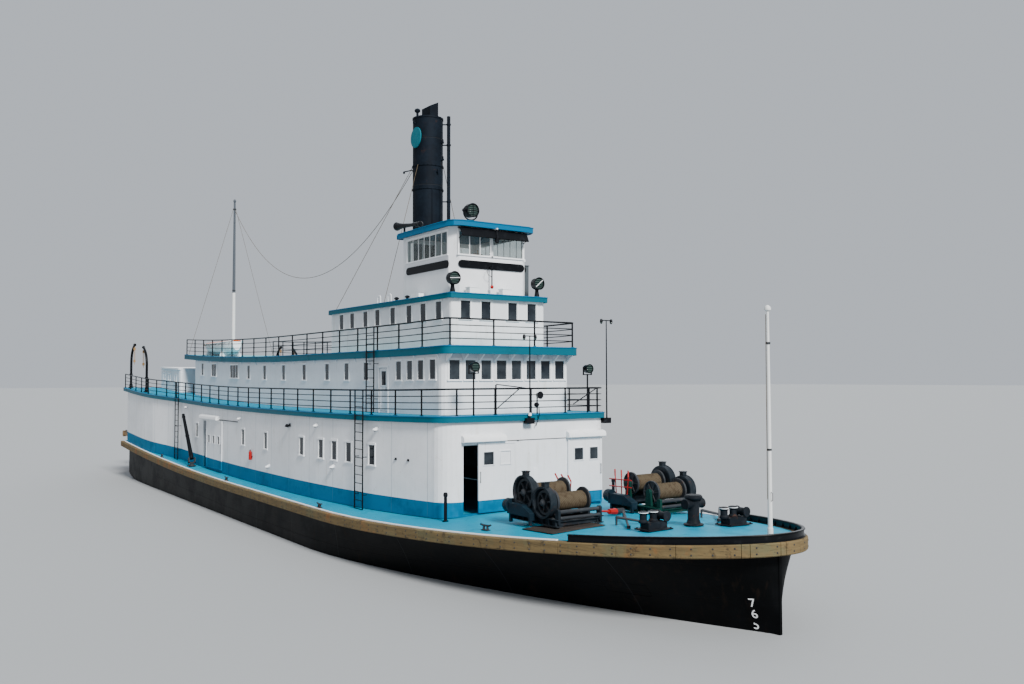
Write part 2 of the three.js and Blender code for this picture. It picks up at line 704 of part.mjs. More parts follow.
// Drums of one winch: place along the boat, height over its floor, radius of the gear cover
const WINCH_DRUMS = [
  { name: 'fore', x: 0.66, up: 0.78, cover: 0.54 },
  { name: 'aft', x: -0.5, up: 1.02, cover: 0.6 },
];
// hand is the side that a winch's gear covers are on, 1 to port
const WINCHES = [
  { side: 's', x: -8.45, y: -1.85, hand: -1 },
  { side: 'p', x: -8.75, y: 3.2, hand: 1 },
];
const WINCH = { length: 2.8, half: 0.92, lift: 0.1, barrel: 0.26, shaft: 0.07, flange: 0.44 };
const WINCH_BEAM = { half: 0.13, height: 0.26 };
const WINCH_STANDARD = { x: [-0.2, -0.01], z: [0.1, 0.6] };
const WINCH_CROSS = { end: 0.14, half: 0.1, z: [0.03, 0.2] };
const WINCH_PLATE = { inset: 0.065, thick: 0.1, half: 0.16, root: 0.1, over: 0.14 };
const WINCH_COVER = { inner: 0.84, depth: 0.26, rim: 0.05, back: 0.06, hub: 0.12 };
const WINCH_STUB = { half: 0.1, height: 0.16, inset: 0.03, root: 0.005 };
const WINCH_MOTOR = { x: 0.32, y: [-0.75, 0.35], z: 0.5, radius: 0.27 };
const WINCH_BED = { x: [0.12, 0.5], inset: 0.1, root: 0.1 };
const WINCH_LOCKER = { x: [0.12, 1.05], y: [0.94, 1.12], z: [0.28, 0.72] };
const WINCH_ROLLERS = [
  { x: -0.1, z: 0.5, radius: 0.07 },
  { x: -0.03, z: 0.3, radius: 0.06 },
];

const winchFloor = ({ x, y }) => deckZ(x, y) + WINCH.lift;

function winchFrame(place) {
  const gear = WINCH_DRUMS.flatMap((part) => [...drumBearers(place, part), ...gearCover(place, part)]);
  return join([...winchBase(place), ...gear, ...winchRollers(place), ...winchMotor(place)]);
}

const winchEnds = ({ x }) => [x - WINCH.length / 2, x + WINCH.length / 2];

// Two long beams with a standard at their fore end each, and three beams across
function winchBase(place) {
  const { x, y } = place;
  const floor = winchFloor(place);
  const [aft, fore] = winchEnds(place);
  const parts = [];
  for (const k of [-1, 1]) {
    const beam = y + k * WINCH.half;
    const across = [beam - WINCH_BEAM.half, beam + WINCH_BEAM.half];
    const standard = WINCH_STANDARD;
    parts.push(box([aft, fore], across, [floor, floor + WINCH_BEAM.height]));
    parts.push(box(standard.x.map((d) => fore + d), across, standard.z.map((d) => floor + d)));
  }
  const { end, half, z } = WINCH_CROSS;
  for (const k of [-1, 0, 1]) {
    const cx = x + k * (WINCH.length / 2 - end);
    const across = [y - WINCH.half, y + WINCH.half];
    parts.push(box([cx - half, cx + half], across, z.map((d) => floor + d)));
  }
  return parts;
}

function winchRollers(place) {
  const floor = winchFloor(place);
  const fore = winchEnds(place)[1];
  const across = [place.y - WINCH.half, place.y + WINCH.half];
  return WINCH_ROLLERS.map(({ x, z, radius }) => drum(fore + x, floor + z, across, radius, 10));
}

// The lying motor with its bed, and the locker on the side of the gear covers
function winchMotor(place) {
  const { y, hand } = place;
  const floor = winchFloor(place);
  const aft = winchEnds(place)[0];
  const motor = WINCH_MOTOR;
  const bed = WINCH_BED;
  const locker = WINCH_LOCKER;
  const barrel = motor.y.map((d) => y - hand * d).sort((a, b) => a - b);
  const bedY = [barrel[0] + bed.inset, barrel[1] - bed.inset];
  const lockerY = locker.y.map((d) => y + hand * d);
  return [
    drum(aft + motor.x, floor + motor.z, barrel, motor.radius, 16),
    box(bed.x.map((d) => aft + d), bedY, [floor + bed.root, floor + motor.z]),
    box(locker.x.map((d) => aft + d), lockerY, locker.z.map((d) => floor + d)),
  ];
}

// Plates at both ends of a drum that carry its shaft
function drumBearers(place, { x: dx, up }) {
  const cx = place.x + dx;
  const floor = winchFloor(place);
  return [-1, 1].map((k) => {
    const y = place.y + k * (WINCH.half - WINCH_PLATE.inset);
    const across = [y - WINCH_PLATE.thick / 2, y + WINCH_PLATE.thick / 2];
    const upright = [floor + WINCH_PLATE.root, floor + up + WINCH_PLATE.over];
    return box([cx - WINCH_PLATE.half, cx + WINCH_PLATE.half], across, upright);
  });
}

// Round cover over the drum's gear, open on its outer side, with a square stub on top
function gearCover(place, { x: dx, up, cover }) {
  const [x, z] = [place.x + dx, winchFloor(place) + up];
  const { inner, depth, rim, back, hub } = WINCH_COVER;
  const bowl = [[cover - rim, depth], [cover - rim, back], [0, back]];
  const profile = [[0, 0], [cover, 0], [cover, depth], ...bowl];
  const shell = new THREE.LatheGeometry(profile.map(([r, h]) => new THREE.Vector2(r, h)), 24);
  if (place.hand < 0) shell.rotateX(Math.PI);
  shell.translate(x, place.y + place.hand * inner, z);
  const stub = WINCH_STUB;
  const outward = (d) => place.y + place.hand * d;
  const across = [inner + stub.inset, inner + depth - stub.inset].map(outward);
  const upright = [z + cover - rim + stub.root, z + cover + stub.height];
  return [
    shell,
    box([x - stub.half, x + stub.half], across, upright),
    drum(x, z, [inner, inner + depth].map(outward), hub, 12),
  ];
}

// Play of a drum between its bearers, and where its barrel and flanges sit on the shaft
const DRUM = { play: 0.012, barrelEnd: 0.06, flangeEnd: 0.1, flangeHalf: 0.035 };

function winchDrum(place, { x: dx, up }) {
  const [x, y, z] = [place.x + dx, place.y, winchFloor(place) + up];
  const { play, barrelEnd, flangeEnd, flangeHalf } = DRUM;
  const reach = WINCH.half - WINCH_PLATE.inset - WINCH_PLATE.thick / 2 - play;
  const parts = [drum(x, z, [y - reach, y + reach], WINCH.shaft, 12)];
  parts.push(drum(x, z, [y - reach + barrelEnd, y + reach - barrelEnd], WINCH.barrel, 16));
  for (const k of [-1, 1]) {
    const flange = y + k * (reach - flangeEnd);
    parts.push(drum(x, z, [flange - flangeHalf, flange + flangeHalf], WINCH.flange, 20));
  }
  return join(parts);
}

const KING_POST = { x: -4.3, y: 0.85, height: 0.95, radius: 0.2 };
const KING_POST_ARM = { z: 0.72, reach: 0.42, radius: 0.17 };
const KING_POST_CAP = { z: [0.9, 1.02], radius: 0.3 };

function kingPost() {
  const { x, y, height, radius } = KING_POST;
  const arm = KING_POST_ARM;
  const cap = KING_POST_CAP;
  const z = deckZ(x, y) + FOOT;
  return join([
    bar([x, y, z], [x, y, z + height], radius, 16),
    bar([x, y - arm.reach, z + arm.z], [x, y + arm.reach, z + arm.z], arm.radius, 12),
    bar([x, y, z + cap.z[0]], [x, y, z + cap.z[1]], cap.radius, 16),
  ]);
}

const FAIRLEADS = [
  { side: 's', x: -4.45, y: -0.85 },
  { side: 'p', x: -3.5, y: 1.95 },
];
const FAIRLEAD_PLATE = { x: 0.35, y: 0.55, top: 0.12 };
const FAIRLEAD_BLOCK = { x: 0.2, y: 0.42, z: [0.1, 0.3] };
const FAIRLEAD_POST = { x: -0.05, y: [-0.42, 0.02], z: [0.25, 0.62], radius: 0.15 };
const FAIRLEAD_ROLLER = { x: [-0.22, 0.25], y: 0.38, z: 0.42, radius: 0.16 };

// Two upright rollers and a lying one on a bed plate
function fairlead({ x, y }) {
  const z = deckZ(x, y) + FOOT;
  const [plate, block, post, roller] = [FAIRLEAD_PLATE, FAIRLEAD_BLOCK, FAIRLEAD_POST, FAIRLEAD_ROLLER];
  const uprights = post.y.map((dy) => {
    const [low, high] = post.z.map((dz) => [x + post.x, y + dy, z + dz]);
    return bar(low, high, post.radius, 12);
  });
  const [aft, fore] = roller.x.map((dx) => [x + dx, y + roller.y, z + roller.z]);
  return join([
    box([x - plate.x, x + plate.x], [y - plate.y, y + plate.y], [z, z + plate.top]),
    box([x - block.x, x + block.x], [y - block.y, y + block.y], block.z.map((dz) => z + dz)),
    ...uprights,
    bar(aft, fore, roller.radius, 12),
  ]);
}

// Lamps

const SEARCHLIGHT = { x: -17.2, y: 0, z: 15.2, radius: 0.3 };
const YOKE = { arm: 0.07, armHalf: 0.03, depth: 0.05, drop: 0.12, over: 0.08, pole: 0.09 };
const YOKE_FOOT = { depth: 0.06, thick: 0.06, lap: 0.01 };
const LAMP_BODY = [-0.2, 0.24];
const LAMP_TAIL = { x: [-0.36, -0.18], back: 0.55, fore: 0.9 };
const TRUNNION = { out: 0.028, radius: 0.04 };

function searchlightYoke() {
  const { x, y, z, radius } = SEARCHLIGHT;
  const { arm, armHalf, depth, drop, over, pole } = YOKE;
  const { depth: footDepth, thick, lap } = YOKE_FOOT;
  const reach = radius + arm;
  const low = z - radius - drop;
  const cheeks = [y - reach, y + reach].map((at) => {
    return box([x - depth, x + depth], [at - armHalf, at + armHalf], [low - thick + lap, z + over]);
  });
  const across = [y - reach - armHalf, y + reach + armHalf];
  return join([
    bar([x, y, pilotRoofZ(x) + GAP], [x, y, low], pole, 12),
    box([x - footDepth, x + footDepth], across, [low - thick, low]),
    ...cheeks,
  ]);
}

function searchlightLamp() {
  const { x, y, z, radius } = SEARCHLIGHT;
  const [back, fore] = LAMP_BODY.map((dx) => [x + dx, y, z]);
  const [tailBack, tailFore] = LAMP_TAIL.x.map((dx) => [x + dx, y, z]);
  const reach = radius + TRUNNION.out;
  return join([
    bar(back, fore, radius, 20),
    bar(tailBack, tailFore, radius * LAMP_TAIL.back, 16, radius * LAMP_TAIL.fore),
    drum(x, z, [y - reach, y + reach], TRUNNION.radius, 10),
  ]);
}

const CORNER_LIGHT = { x: -15.12, y: 2.2, post: 0.4, low: 0.16, high: 0.1 };
const CORNER_HEAD = { x: [-0.18, 0.2], z: 0.62, radius: 0.27 };

function cornerLight(side) {
  const { x, post, low, high } = CORNER_LIGHT;
  const y = side * CORNER_LIGHT.y;
  const foot = fourthZ(x) + SEAT;
  const [back, fore] = CORNER_HEAD.x.map((dx) => [x + dx, y, foot + CORNER_HEAD.z]);
  return join([
    bar([x, y, foot], [x, y, foot + post], low, 12, high),
    bar(back, fore, CORNER_HEAD.radius, 16),
  ]);
}

// Stack, masts and boats

const STACK = { x: -21.15, radius: 0.74, top: 20.35, bands: [16.8, 17.95] };
const STACK_PIPE = { x: -20.45, y: 0.92, top: 19.6, radius: 0.09, brackets: [13, 15, 17, 19.3] };
const STACK_FOOT = { out: 0.14, height: 0.5, top: 0.6 };
const STACK_BAND = { out: 0.04, half: 0.05, root: 0.07 };
const STACK_RIM = { lip: 0.06, shoulder: 0.3, low: 0.26, flue: 1.2 };
const STACK_ARM = { bite: 0.05, radius: 0.03 };
const MAST = { x: -50.9, top: 21.2, foot: 0.14, head: 0.07 };
const JACKSTAFF = { x: -0.33, top: 9.6, foot: 0.07, head: 0.04, ball: 0.1, ballLift: 0.06 };

// A raised hoop round the stack, as a stretch of its profile
const stackBand = (radius, z) => [
  [radius, z - STACK_BAND.root],
  [radius + STACK_BAND.out, z - STACK_BAND.half],
  [radius + STACK_BAND.out, z + STACK_BAND.half],
  [radius, z + STACK_BAND.root],
];

function stack() {
  const { x, radius, top } = STACK;
  const foot = fourthZ(x) + SEAT;
  const base = STACK_FOOT;
  const rim = STACK_RIM;
  const profile = [
    [0, foot],
    [radius + base.out, foot],
    [radius + base.out, foot + base.height],
    [radius, foot + base.top],
    ...STACK.bands.flatMap((z) => stackBand(radius, z)),
    [radius, top - rim.shoulder],
    [radius + rim.lip, top - rim.low],
    [radius + rim.lip, top],
    [radius - rim.lip, top],
    [radius - rim.lip, top - rim.flue],
    [0, top - rim.flue],
  ].map(([r, z]) => new THREE.Vector2(r, z));
  const flue = new THREE.LatheGeometry(profile, 22).rotateX(Math.PI / 2).translate(x, 0, 0);
  return join([flue, ...steamPipe()]);
}

// The pipe beside the stack and the arms that hold it there
function steamPipe() {
  const { x, y, top, radius, brackets } = STACK_PIPE;
  const root = (STACK.radius - STACK_ARM.bite) / Math.hypot(x - STACK.x, y);
  const arm = (z) => [STACK.x + (x - STACK.x) * root, y * root, z];
  return [
    bar([x, y, fourthZ(x) + SEAT], [x, y, top], radius, 10),
    ...brackets.map((z) => bar(arm(z), [x, y, z], STACK_ARM.radius)),
  ];
}

function mast() {
  const { x, top, foot, head } = MAST;
  return bar([x, 0, thirdZ(x) + FOOT], [x, 0, top], foot, 12, head);
}

function jackstaff() {
  const { x, top, foot, head, ball, ballLift } = JACKSTAFF;
  return join([
    bar([x, 0, deckZ(x, 0) + SEAT], [x, 0, top], foot, 10, head),
    new THREE.SphereGeometry(ball, 10, 6).translate(x, 0, top + ballLift),
  ]);
}

const DAVIT = { y: 5.82, straight: 1.9, bend: 2.9, head: 3.3, radius: 0.1 };
const DAVITS = [
  { name: 'fore', x: -52.6, lean: -1.1 },
  { name: 'aft', x: -57.6, lean: 1.1 },
];

// A radial davit: a post on the deck edge whose head curves over
function davit({ x, lean }, side) {
  const foot = secondZ(x) + FOOT;
  const at = (dx, dz) => new THREE.Vector3(x + dx, side * DAVIT.y, foot + dz);
  const knee = at(0, DAVIT.straight);
  const curve = new THREE.CurvePath();
  curve.add(new THREE.LineCurve3(at(0, 0), knee));
  curve.add(new THREE.QuadraticBezierCurve3(knee, at(0, DAVIT.bend), at(lean, DAVIT.head)));
  const section = new THREE.Shape().absarc(0, 0, DAVIT.radius, 0, 2 * Math.PI);
  return new THREE.ExtrudeGeometry(section, { steps: 12, curveSegments: 4, extrudePath: curve });
}

// The boat in its chocks on the third deck
const LIFEBOAT = { back: -50.3, front: -44.2, y: -1.9, depth: 0.85, chocks: [-48.8, -45.6] };
const LIFEBOAT_FRAMES = 8;
const LIFEBOAT_PLAN = { end: 0.12, swell: 0.85, start: 0.06, share: 0.88, power: 0.7 };
const LIFEBOAT_SIDE = { lift: 0.1, ends: 0.35, sheer: 0.12, bilge: 0.7, bilgeUp: 0.25 };
const CHOCK = { half: 0.08, width: 0.7, height: 0.42 };

// One frame of the boat, u of its length forward of its stern
function lifeboatFrame(u) {
  const { back, front, y, depth } = LIFEBOAT;
  const { end, swell, start, share, power } = LIFEBOAT_PLAN;
  const { lift, ends, sheer: rise, bilge, bilgeUp } = LIFEBOAT_SIDE;
  const x = back + (front - back) * u;
  const half = end + swell * Math.sin(Math.PI * (start + share * u)) ** power;
  const keel = thirdZ(x) + lift + ends * (2 * u - 1) ** 4;
  const top = thirdZ(back) + depth + rise * (2 * u - 1) ** 2;
  const turn = [half * bilge, keel + bilgeUp];
  const section = [[0, keel], turn, [half, top], [-half, top], [-turn[0], turn[1]]];
  return section.map(([dy, z]) => [x, y + dy, z]);
}

function lifeboat() {
  const { y, chocks } = LIFEBOAT;
  const rings = [];
  for (let i = 0; i <= LIFEBOAT_FRAMES; i += 1) rings.push(lifeboatFrame(i / LIFEBOAT_FRAMES));
  const cradle = chocks.map((x) => {
    const floor = thirdZ(x);
    const across = [y - CHOCK.width, y + CHOCK.width];
    return box([x - CHOCK.half, x + CHOCK.half], across, [floor + SEAT, floor + CHOCK.height]);
  });
  return join([loft(rings), ...cradle]);
}

const BOOM = { foot: [-40.9, -5.75, 2.55], head: [-43, -5.75, 5.3], radii: [0.13, 0.09] };
const BOOM_CHEEK = { half: 0.1, inner: 0.15, outer: 0.21 };
const BOOM_SEAT = { low: -0.25, lap: 0.01, seat: -0.17, high: 0.12 };
const BOOM_BED = { x: 0.25, y: 0.2, top: 0.14 };
const BOOM_POST = { root: 0.1, radius: 0.1 };

const boom = () => bar(BOOM.foot, BOOM.head, BOOM.radii[0], 10, BOOM.radii[1]);

// Step of the boom on the walkway: a bed plate, a short post and two cheeks round the boom's foot
function boomStep() {
  const [x, y, z] = BOOM.foot;
  const deck = deckZ(x, y);
  const { half, inner, outer } = BOOM_CHEEK;
  const { low, lap, seat, high } = BOOM_SEAT;
  const along = [x - half, x + half];
  const cheeks = [-1, 1].map((k) => {
    return box(along, [y + k * inner, y + k * outer], [z + low + lap, z + high]);
  });
  const bed = BOOM_BED;
  return join([
    box([x - bed.x, x + bed.x], [y - bed.y, y + bed.y], [deck + FOOT, deck + bed.top]),
    bar([x, y, deck + BOOM_POST.root], [x, y, z + seat], BOOM_POST.radius, 10),
    box(along, [y - outer, y + outer], [z + low, z + seat]),
    ...cheeks,
  ]);
}

// Stern wheel and its gear

const WHEEL_RING = { inset: 0.35, hubHalf: 0.12, hub: 0.55, rim: [0.6, 0.66], rimHalf: 0.05 };
const WHEEL_ARM = { root: 0.3, tip: 0.05, y: 0.06, z: 0.09 };
const WHEEL_BOARD = { half: 0.045, off: 0.03 };
const WHEEL_SHAFT = { out: 0.55, radius: 0.2 };
const CRANK_WEB = { y: 0.45, half: 0.1, back: 0.25, over: 0.2, depth: 0.22 };
const CRANK_PIN = { length: 0.24, radius: 0.12 };

// One wheel ring: a hub with arms that reach out to the buckets, and a rim on the outer rings
function wheelRing(place) {
  const { x, z, arms, radius, half } = WHEEL;
  const { inset, hubHalf, hub, rim, rimHalf } = WHEEL_RING;
  const { root, tip } = WHEEL_ARM;
  const y = place * (half - inset);
  const parts = [drum(x, z, [y - hubHalf, y + hubHalf], hub, 14)];
  if (place !== 0) parts.push(ringPlate(x, y, z, radius * rim[0], radius * rim[1], rimHalf));
  for (let i = 0; i < arms; i += 1) {
    const arm = box([root, radius - tip], [-WHEEL_ARM.y, WHEEL_ARM.y], [-WHEEL_ARM.z, WHEEL_ARM.z]);
    parts.push(arm.rotateY((i / arms) * 2 * Math.PI).translate(x, y, z));
  }
  return parts;
}

function ringPlate(x, y, z, inner, outer, half) {
  const points = [[inner, -half], [outer, -half], [outer, half], [inner, half], [inner, -half]];
  const profile = points.map(([r, h]) => new THREE.Vector2(r, h));
  return new THREE.LatheGeometry(profile, WHEEL.arms * 2).translate(x, y, z);
}

// The buckets, boards that reach right across the wheel
function wheelBoards() {
  const { x, z, half, arms, radius, bucket } = WHEEL;
  const boards = [];
  for (let i = 0; i < arms; i += 1) {
    const board = box([radius - bucket, radius], [-half, half], [-WHEEL_BOARD.half, WHEEL_BOARD.half]);
    const turned = board.translate(0, 0, WHEEL_BOARD.off).rotateY((i / arms) * 2 * Math.PI);
    boards.push(turned.translate(x, 0, z));
  }
  return boards;
}

// The crank at one end of the shaft, its web and its pin
function crank(side) {
  const { x, z } = WHEEL;
  const web = CRANK_WEB;
  const y = side * (TIMBER_Y + web.y);
  const along = [x - web.back, x + CRANK + web.over];
  return [
    box(along, [y - web.half, y + web.half], [z - web.depth, z + web.depth]),
    drum(x + CRANK, z, [y, y + side * CRANK_PIN.length], CRANK_PIN.radius, 10),
  ];
}

function wheel() {
  const { x, z, rings } = WHEEL;
  const reach = TIMBER_Y + WHEEL_SHAFT.out;
  const shaft = drum(x, z, [-reach, reach], WHEEL_SHAFT.radius, 12);
  return join([shaft, ...rings.flatMap(wheelRing), ...wheelBoards(), ...crank(-1), ...crank(1)]);
}

// Each beam lies on the deck up to its stern end, then rises to the shaft and tapers behind it
const TIMBER = { front: -50, deckEnd: -58.8, half: 0.2, inner: 4.4, z: [0.02, 0.34] };
const TIMBER_TAIL = [
  { x: -60.5, low: 2.72, high: 3.3 },
  { x: -63.6, low: 2.62, high: 2.88 },
];
const BEARING = { half: 0.45, z: [-0.4, 0.36], bore: 0.215 };

// The long beam that carries the shaft out behind the transom, with its bearing block
function timber(side) {
  const y = side * TIMBER_Y;
  const { front, deckEnd, half, inner } = TIMBER;
  const onDeck = stations(front, deckEnd).map((x) => {
    const [low, high] = TIMBER.z.map((dz) => deckZ(x, inner) + dz);
    return { x, low, high };
  });
  const rings = [...onDeck, ...TIMBER_TAIL].map(({ x, low, high }) => [
    [x, y - half, low], [x, y + half, low], [x, y + half, high], [x, y - half, high],
  ]);
  const { x, z } = WHEEL;
  const upright = BEARING.z.map((dz) => z + dz);
  const block = box([x - BEARING.half, x + BEARING.half], [y - half, y + half], upright);
  return cut(join([loft(rings), block]), [drum(x, z, [y - 1, y + 1], BEARING.bore, 12)]);
}

const PITMAN = { y: 0.82, length: 5.8, half: 0.08, depth: 0.13, eye: 0.24, eyeHalf: 0.11 };

// Pitman arm from the crank pin forward to the crosshead in the engine room
function pitman(side) {
  const { length, half, depth, eye, eyeHalf } = PITMAN;
  const y = side * (TIMBER_Y + PITMAN.y);
  const x = WHEEL.x + CRANK;
  return join([
    box([x, x + length], [y - half, y + half], [WHEEL.z - depth, WHEEL.z + depth]),
    drum(x, WHEEL.z, [y - eyeHalf, y + eyeHalf], eye, 14),
  ]);
}

// Steam cylinder and boiler as plain blocks
const ENGINE = { x: [-55.7, -51.4], y: [5.15, 5.7], top: 3.6 };
const BOILER = { x: [-33, -26], z: 3.7, radius: 1.35 };

function engine(side) {
  const floor = deckZ(ENGINE.x[0], ENGINE.y[0]) + FOOT;
  return box(ENGINE.x, ENGINE.y.map((y) => side * y), [floor, ENGINE.top]);
}

function boiler() {
  const [back, front] = BOILER.x.map((x) => [x, 0, BOILER.z]);
  return bar(back, front, BOILER.radius, 16);
}

const RUDDERS = [
  { name: 'c', y: 0 },
  { name: 's', y: -3.2 },
  { name: 'p', y: 3.2 },
];
const RUDDER = { stock: -57.2, stockRadius: 0.1, foot: -1.1, half: 0.06, low: -1.15 };
const RUDDER_BLADE = { back: -58.3, over: 0.25, high: 0.9 };
const RUDDER_HEEL = { front: -55.0, high: -0.5 };

function rudder(y) {
  const { stock, stockRadius, foot, half, low } = RUDDER;
  const { back, over, high } = RUDDER_BLADE;
  const across = [y - half, y + half];
  const top = edgeZ(stock) - GUARD_DEPTH - SEAT;
  return join([
    box([back, stock + over], across, [low, high]),
    box([stock, RUDDER_HEEL.front], across, [low, RUDDER_HEEL.high]),
    bar([stock, y, foot], [stock, y, top], stockRadius, 12),
  ]);
}

// Finishes
function paint(color, roughness = 0.55, metalness = 0) {
  return new THREE.MeshStandardMaterial({ color, roughness, metalness });
}

const FINISH = {
  black: paint(0x14161a, 0.45),
  timber: paint(0x8d8169, 0.85),
  deck: paint(0x27b3d1, 0.5),
  white: paint(0xe4e6e8, 0.6),
  teal: paint(0x1688a0, 0.5),
  iron: paint(0x2b2f33, 0.6, 0.4),
  stack: paint(0x1b1e22, 0.55, 0.2),
  wheel: paint(0xa8322a, 0.7),
  engine: paint(0x5c6468, 0.5, 0.6),
  orange: paint(0xd86a35, 0.6),
};

const boat = new THREE.Group();
const shift = BOW_OVERHANG - OVERALL / 2;
const toModel = new THREE.Matrix4().makeScale(MODEL_MM, MODEL_MM, MODEL_MM)
  .multiply(new THREE.Matrix4().makeTranslation(-shift, 0, DRAUGHT));

function add(name, geometry, material) {
  const mesh = new THREE.Mesh(geometry.applyMatrix4(toModel), material);
  mesh.name = name;
  boat.add(mesh);
}

add('hull', hull(), FINISH.black);
add('guard', guard(), FINISH.timber);
add('bow_rail', bowRail(), FINISH.black);
add('main_deck', mainDeck(), FINISH.deck);
add('main_house', mainHouse(), FINISH.white);
add('second_deck', secondDeck(), FINISH.teal);
add('second_house', secondHouse(), FINISH.white);
add('third_deck', thirdDeck(), FINISH.teal);
add('texas_house', texasPart(false), FINISH.white);
add('texas_front', texasPart(true), FINISH.white);
add('texas_roof', texasRoof(), FINISH.teal);
add('pilothouse', pilothouse(), FINISH.white);
add('pilothouse_roof', pilotRoof(), FINISH.teal);
add('aft_cabin', aftCabin(), FINISH.white);
add('stack', stack(), FINISH.stack);
add('mast', mast(), FINISH.white);
add('jackstaff', jackstaff(), FINISH.white);
add('second_rail', secondRail(), FINISH.black);
add('third_rail', thirdRail(), FINISH.black);
add('boiler', boiler(), FINISH.engine);
add('wheel', wheel(), FINISH.wheel);
add('king_post', kingPost(), FINISH.iron);
for (const place of FAIRLEADS) add(`fairlead_${place.side}`, fairlead(place), FINISH.iron);
add('searchlight_yoke', searchlightYoke(), FINISH.iron);
add('searchlight_lamp', searchlightLamp(), FINISH.iron);
add('lifeboat', lifeboat(), FINISH.orange);
add('boom', boom(), FINISH.iron);
add('boom_step', boomStep(), FINISH.iron);

for (const winch of WINCHES) {
  add(`winch_frame_${winch.side}`, winchFrame(winch), FINISH.iron);
  for (const part of WINCH_DRUMS) {
    add(`winch_drum_${part.name}_${winch.side}`, winchDrum(winch, part), FINISH.iron);
  }
}

for (const [side, k] of [['s', -1], ['p', 1]]) {
  add(`ladder_main_${side}`, mainLadder(k), FINISH.black);
  add(`ladder_upper_${side}`, upperLadder(k), FINISH.black);
  add(`corner_light_${side}`, cornerLight(k), FINISH.iron);
  add(`timber_${side}`, timber(k), FINISH.white);
  add(`pitman_${side}`, pitman(k), FINISH.timber);
  add(`engine_${side}`, engine(k), FINISH.engine);
  add(`side_door_${side}`, sideDoor(k), FINISH.white);
  add(`cabin_door_${side}`, cabinDoor(k), FINISH.white);
  for (const place of DAVITS) add(`davit_${place.name}_${side}`, davit(place, k), FINISH.black);
}
add('front_door_s', frontDoor(FRONT_DOOR.starboard, FRONT_DOOR.ajar), FINISH.white);
add('front_door_p', frontDoor(FRONT_DOOR.port, 0), FINISH.white);
for (const { name, y } of RUDDERS) add(`rudder_${name}`, rudder(y), FINISH.black);

export default boat;
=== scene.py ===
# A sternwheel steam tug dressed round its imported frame: finishes, trim, glass, rails and deck gear.
# Lengths in the functions are metres on the full-size boat: x is zero at the stem and negative aft, y runs
# to port and z up from the waterline. Shape.become takes them to the half-size model.
import json
import math

import bmesh
import bpy
from mathutils import Matrix, Vector

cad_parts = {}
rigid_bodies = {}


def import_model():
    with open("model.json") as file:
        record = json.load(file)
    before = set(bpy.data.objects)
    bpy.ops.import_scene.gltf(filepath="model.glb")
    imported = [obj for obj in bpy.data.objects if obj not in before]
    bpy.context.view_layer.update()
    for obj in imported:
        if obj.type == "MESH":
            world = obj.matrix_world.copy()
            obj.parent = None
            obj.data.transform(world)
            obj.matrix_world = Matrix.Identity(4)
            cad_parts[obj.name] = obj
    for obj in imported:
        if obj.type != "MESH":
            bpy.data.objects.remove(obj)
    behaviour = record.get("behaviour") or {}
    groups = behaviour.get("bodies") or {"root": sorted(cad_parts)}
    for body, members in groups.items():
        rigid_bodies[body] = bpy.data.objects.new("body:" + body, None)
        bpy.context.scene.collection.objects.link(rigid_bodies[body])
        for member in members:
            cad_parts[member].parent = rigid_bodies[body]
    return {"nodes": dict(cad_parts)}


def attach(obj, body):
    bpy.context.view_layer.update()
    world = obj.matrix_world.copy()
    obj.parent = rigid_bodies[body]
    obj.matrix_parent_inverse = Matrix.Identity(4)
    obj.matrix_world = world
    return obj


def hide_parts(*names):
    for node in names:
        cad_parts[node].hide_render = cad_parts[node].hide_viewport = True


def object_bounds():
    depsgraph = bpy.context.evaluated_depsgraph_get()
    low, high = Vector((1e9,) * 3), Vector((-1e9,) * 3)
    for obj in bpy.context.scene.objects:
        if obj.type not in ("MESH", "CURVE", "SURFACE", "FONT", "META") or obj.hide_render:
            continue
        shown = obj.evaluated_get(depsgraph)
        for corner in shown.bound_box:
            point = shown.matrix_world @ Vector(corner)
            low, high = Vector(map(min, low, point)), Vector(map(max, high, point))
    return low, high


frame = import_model()
CAD_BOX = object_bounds()

# Scale and reference planes
SCALE = 0.5
BOW_OVERHANG = 0.55
DRAUGHT = 1.42
STEM = CAD_BOX[1].x / SCALE - BOW_OVERHANG
TO_MODEL = Matrix.Scale(SCALE, 4) @ Matrix.Translation((STEM, 0, DRAUGHT))

# Hull and decks
HALF_BEAM = 6.4
HULL_HALF = 6.05
ENTRY = 19.5
TRANSOM = -56.8
DECK_END = -58.2
DECK_CROWN = 2.2
CAMBER = 0.3
STATION = 2.5
SECOND_HOUSE = {"front": -14.13, "back": -49.2}
TEXAS = {"front": -14.86, "back": -27.1}
PILOT = {"front": -15.46, "back": -19.9, "half": 2.0, "corner": 0.33}
EAVE = 0.12
WHEEL_X, WHEEL_Z = -62.4, 3.15
BEAM_SIDE = 4.6
FRONT_WALL, SIDE_DOOR, CABIN_DOOR = -12.54, -40.1, -19.4
UP, DOWN, AHEAD, TO_PORT, ORIGIN = (0, 0, 1), (0, 0, -1), (1, 0, 0), (0, 1, 0), (0, 0, 0)
SIDES = ((-1, "s"), (1, "p"))


def clamp(t):
    return min(1.0, max(0.0, t))


def smooth(t):
    return clamp(t) ** 2 * (3 - 2 * clamp(t))


def sheer(x):
    if x > -20:
        return 0.0015 * (x + 20) ** 2
    if x < -30:
        return 0.0011 * (x + 30) ** 2
    return 0.0


def guard_half(x):
    t = clamp((BOW_OVERHANG - x) / ENTRY)
    return HALF_BEAM * math.sqrt(1 - (1 - t) ** 1.6)


def house_half(x):
    fore = max(0.0, (x + 27) / 14.46)
    return 5.3 - 1.25 * fore ** 2 + 0.8 * smooth((-44 - x) / 8)


def deck_z(x, y):
    return DECK_CROWN + sheer(x) - CAMBER * (y / HALF_BEAM) ** 2


def edge_z(x):
    return deck_z(x, guard_half(x))


def second_z(x):
    return 6.03 + sheer(x)


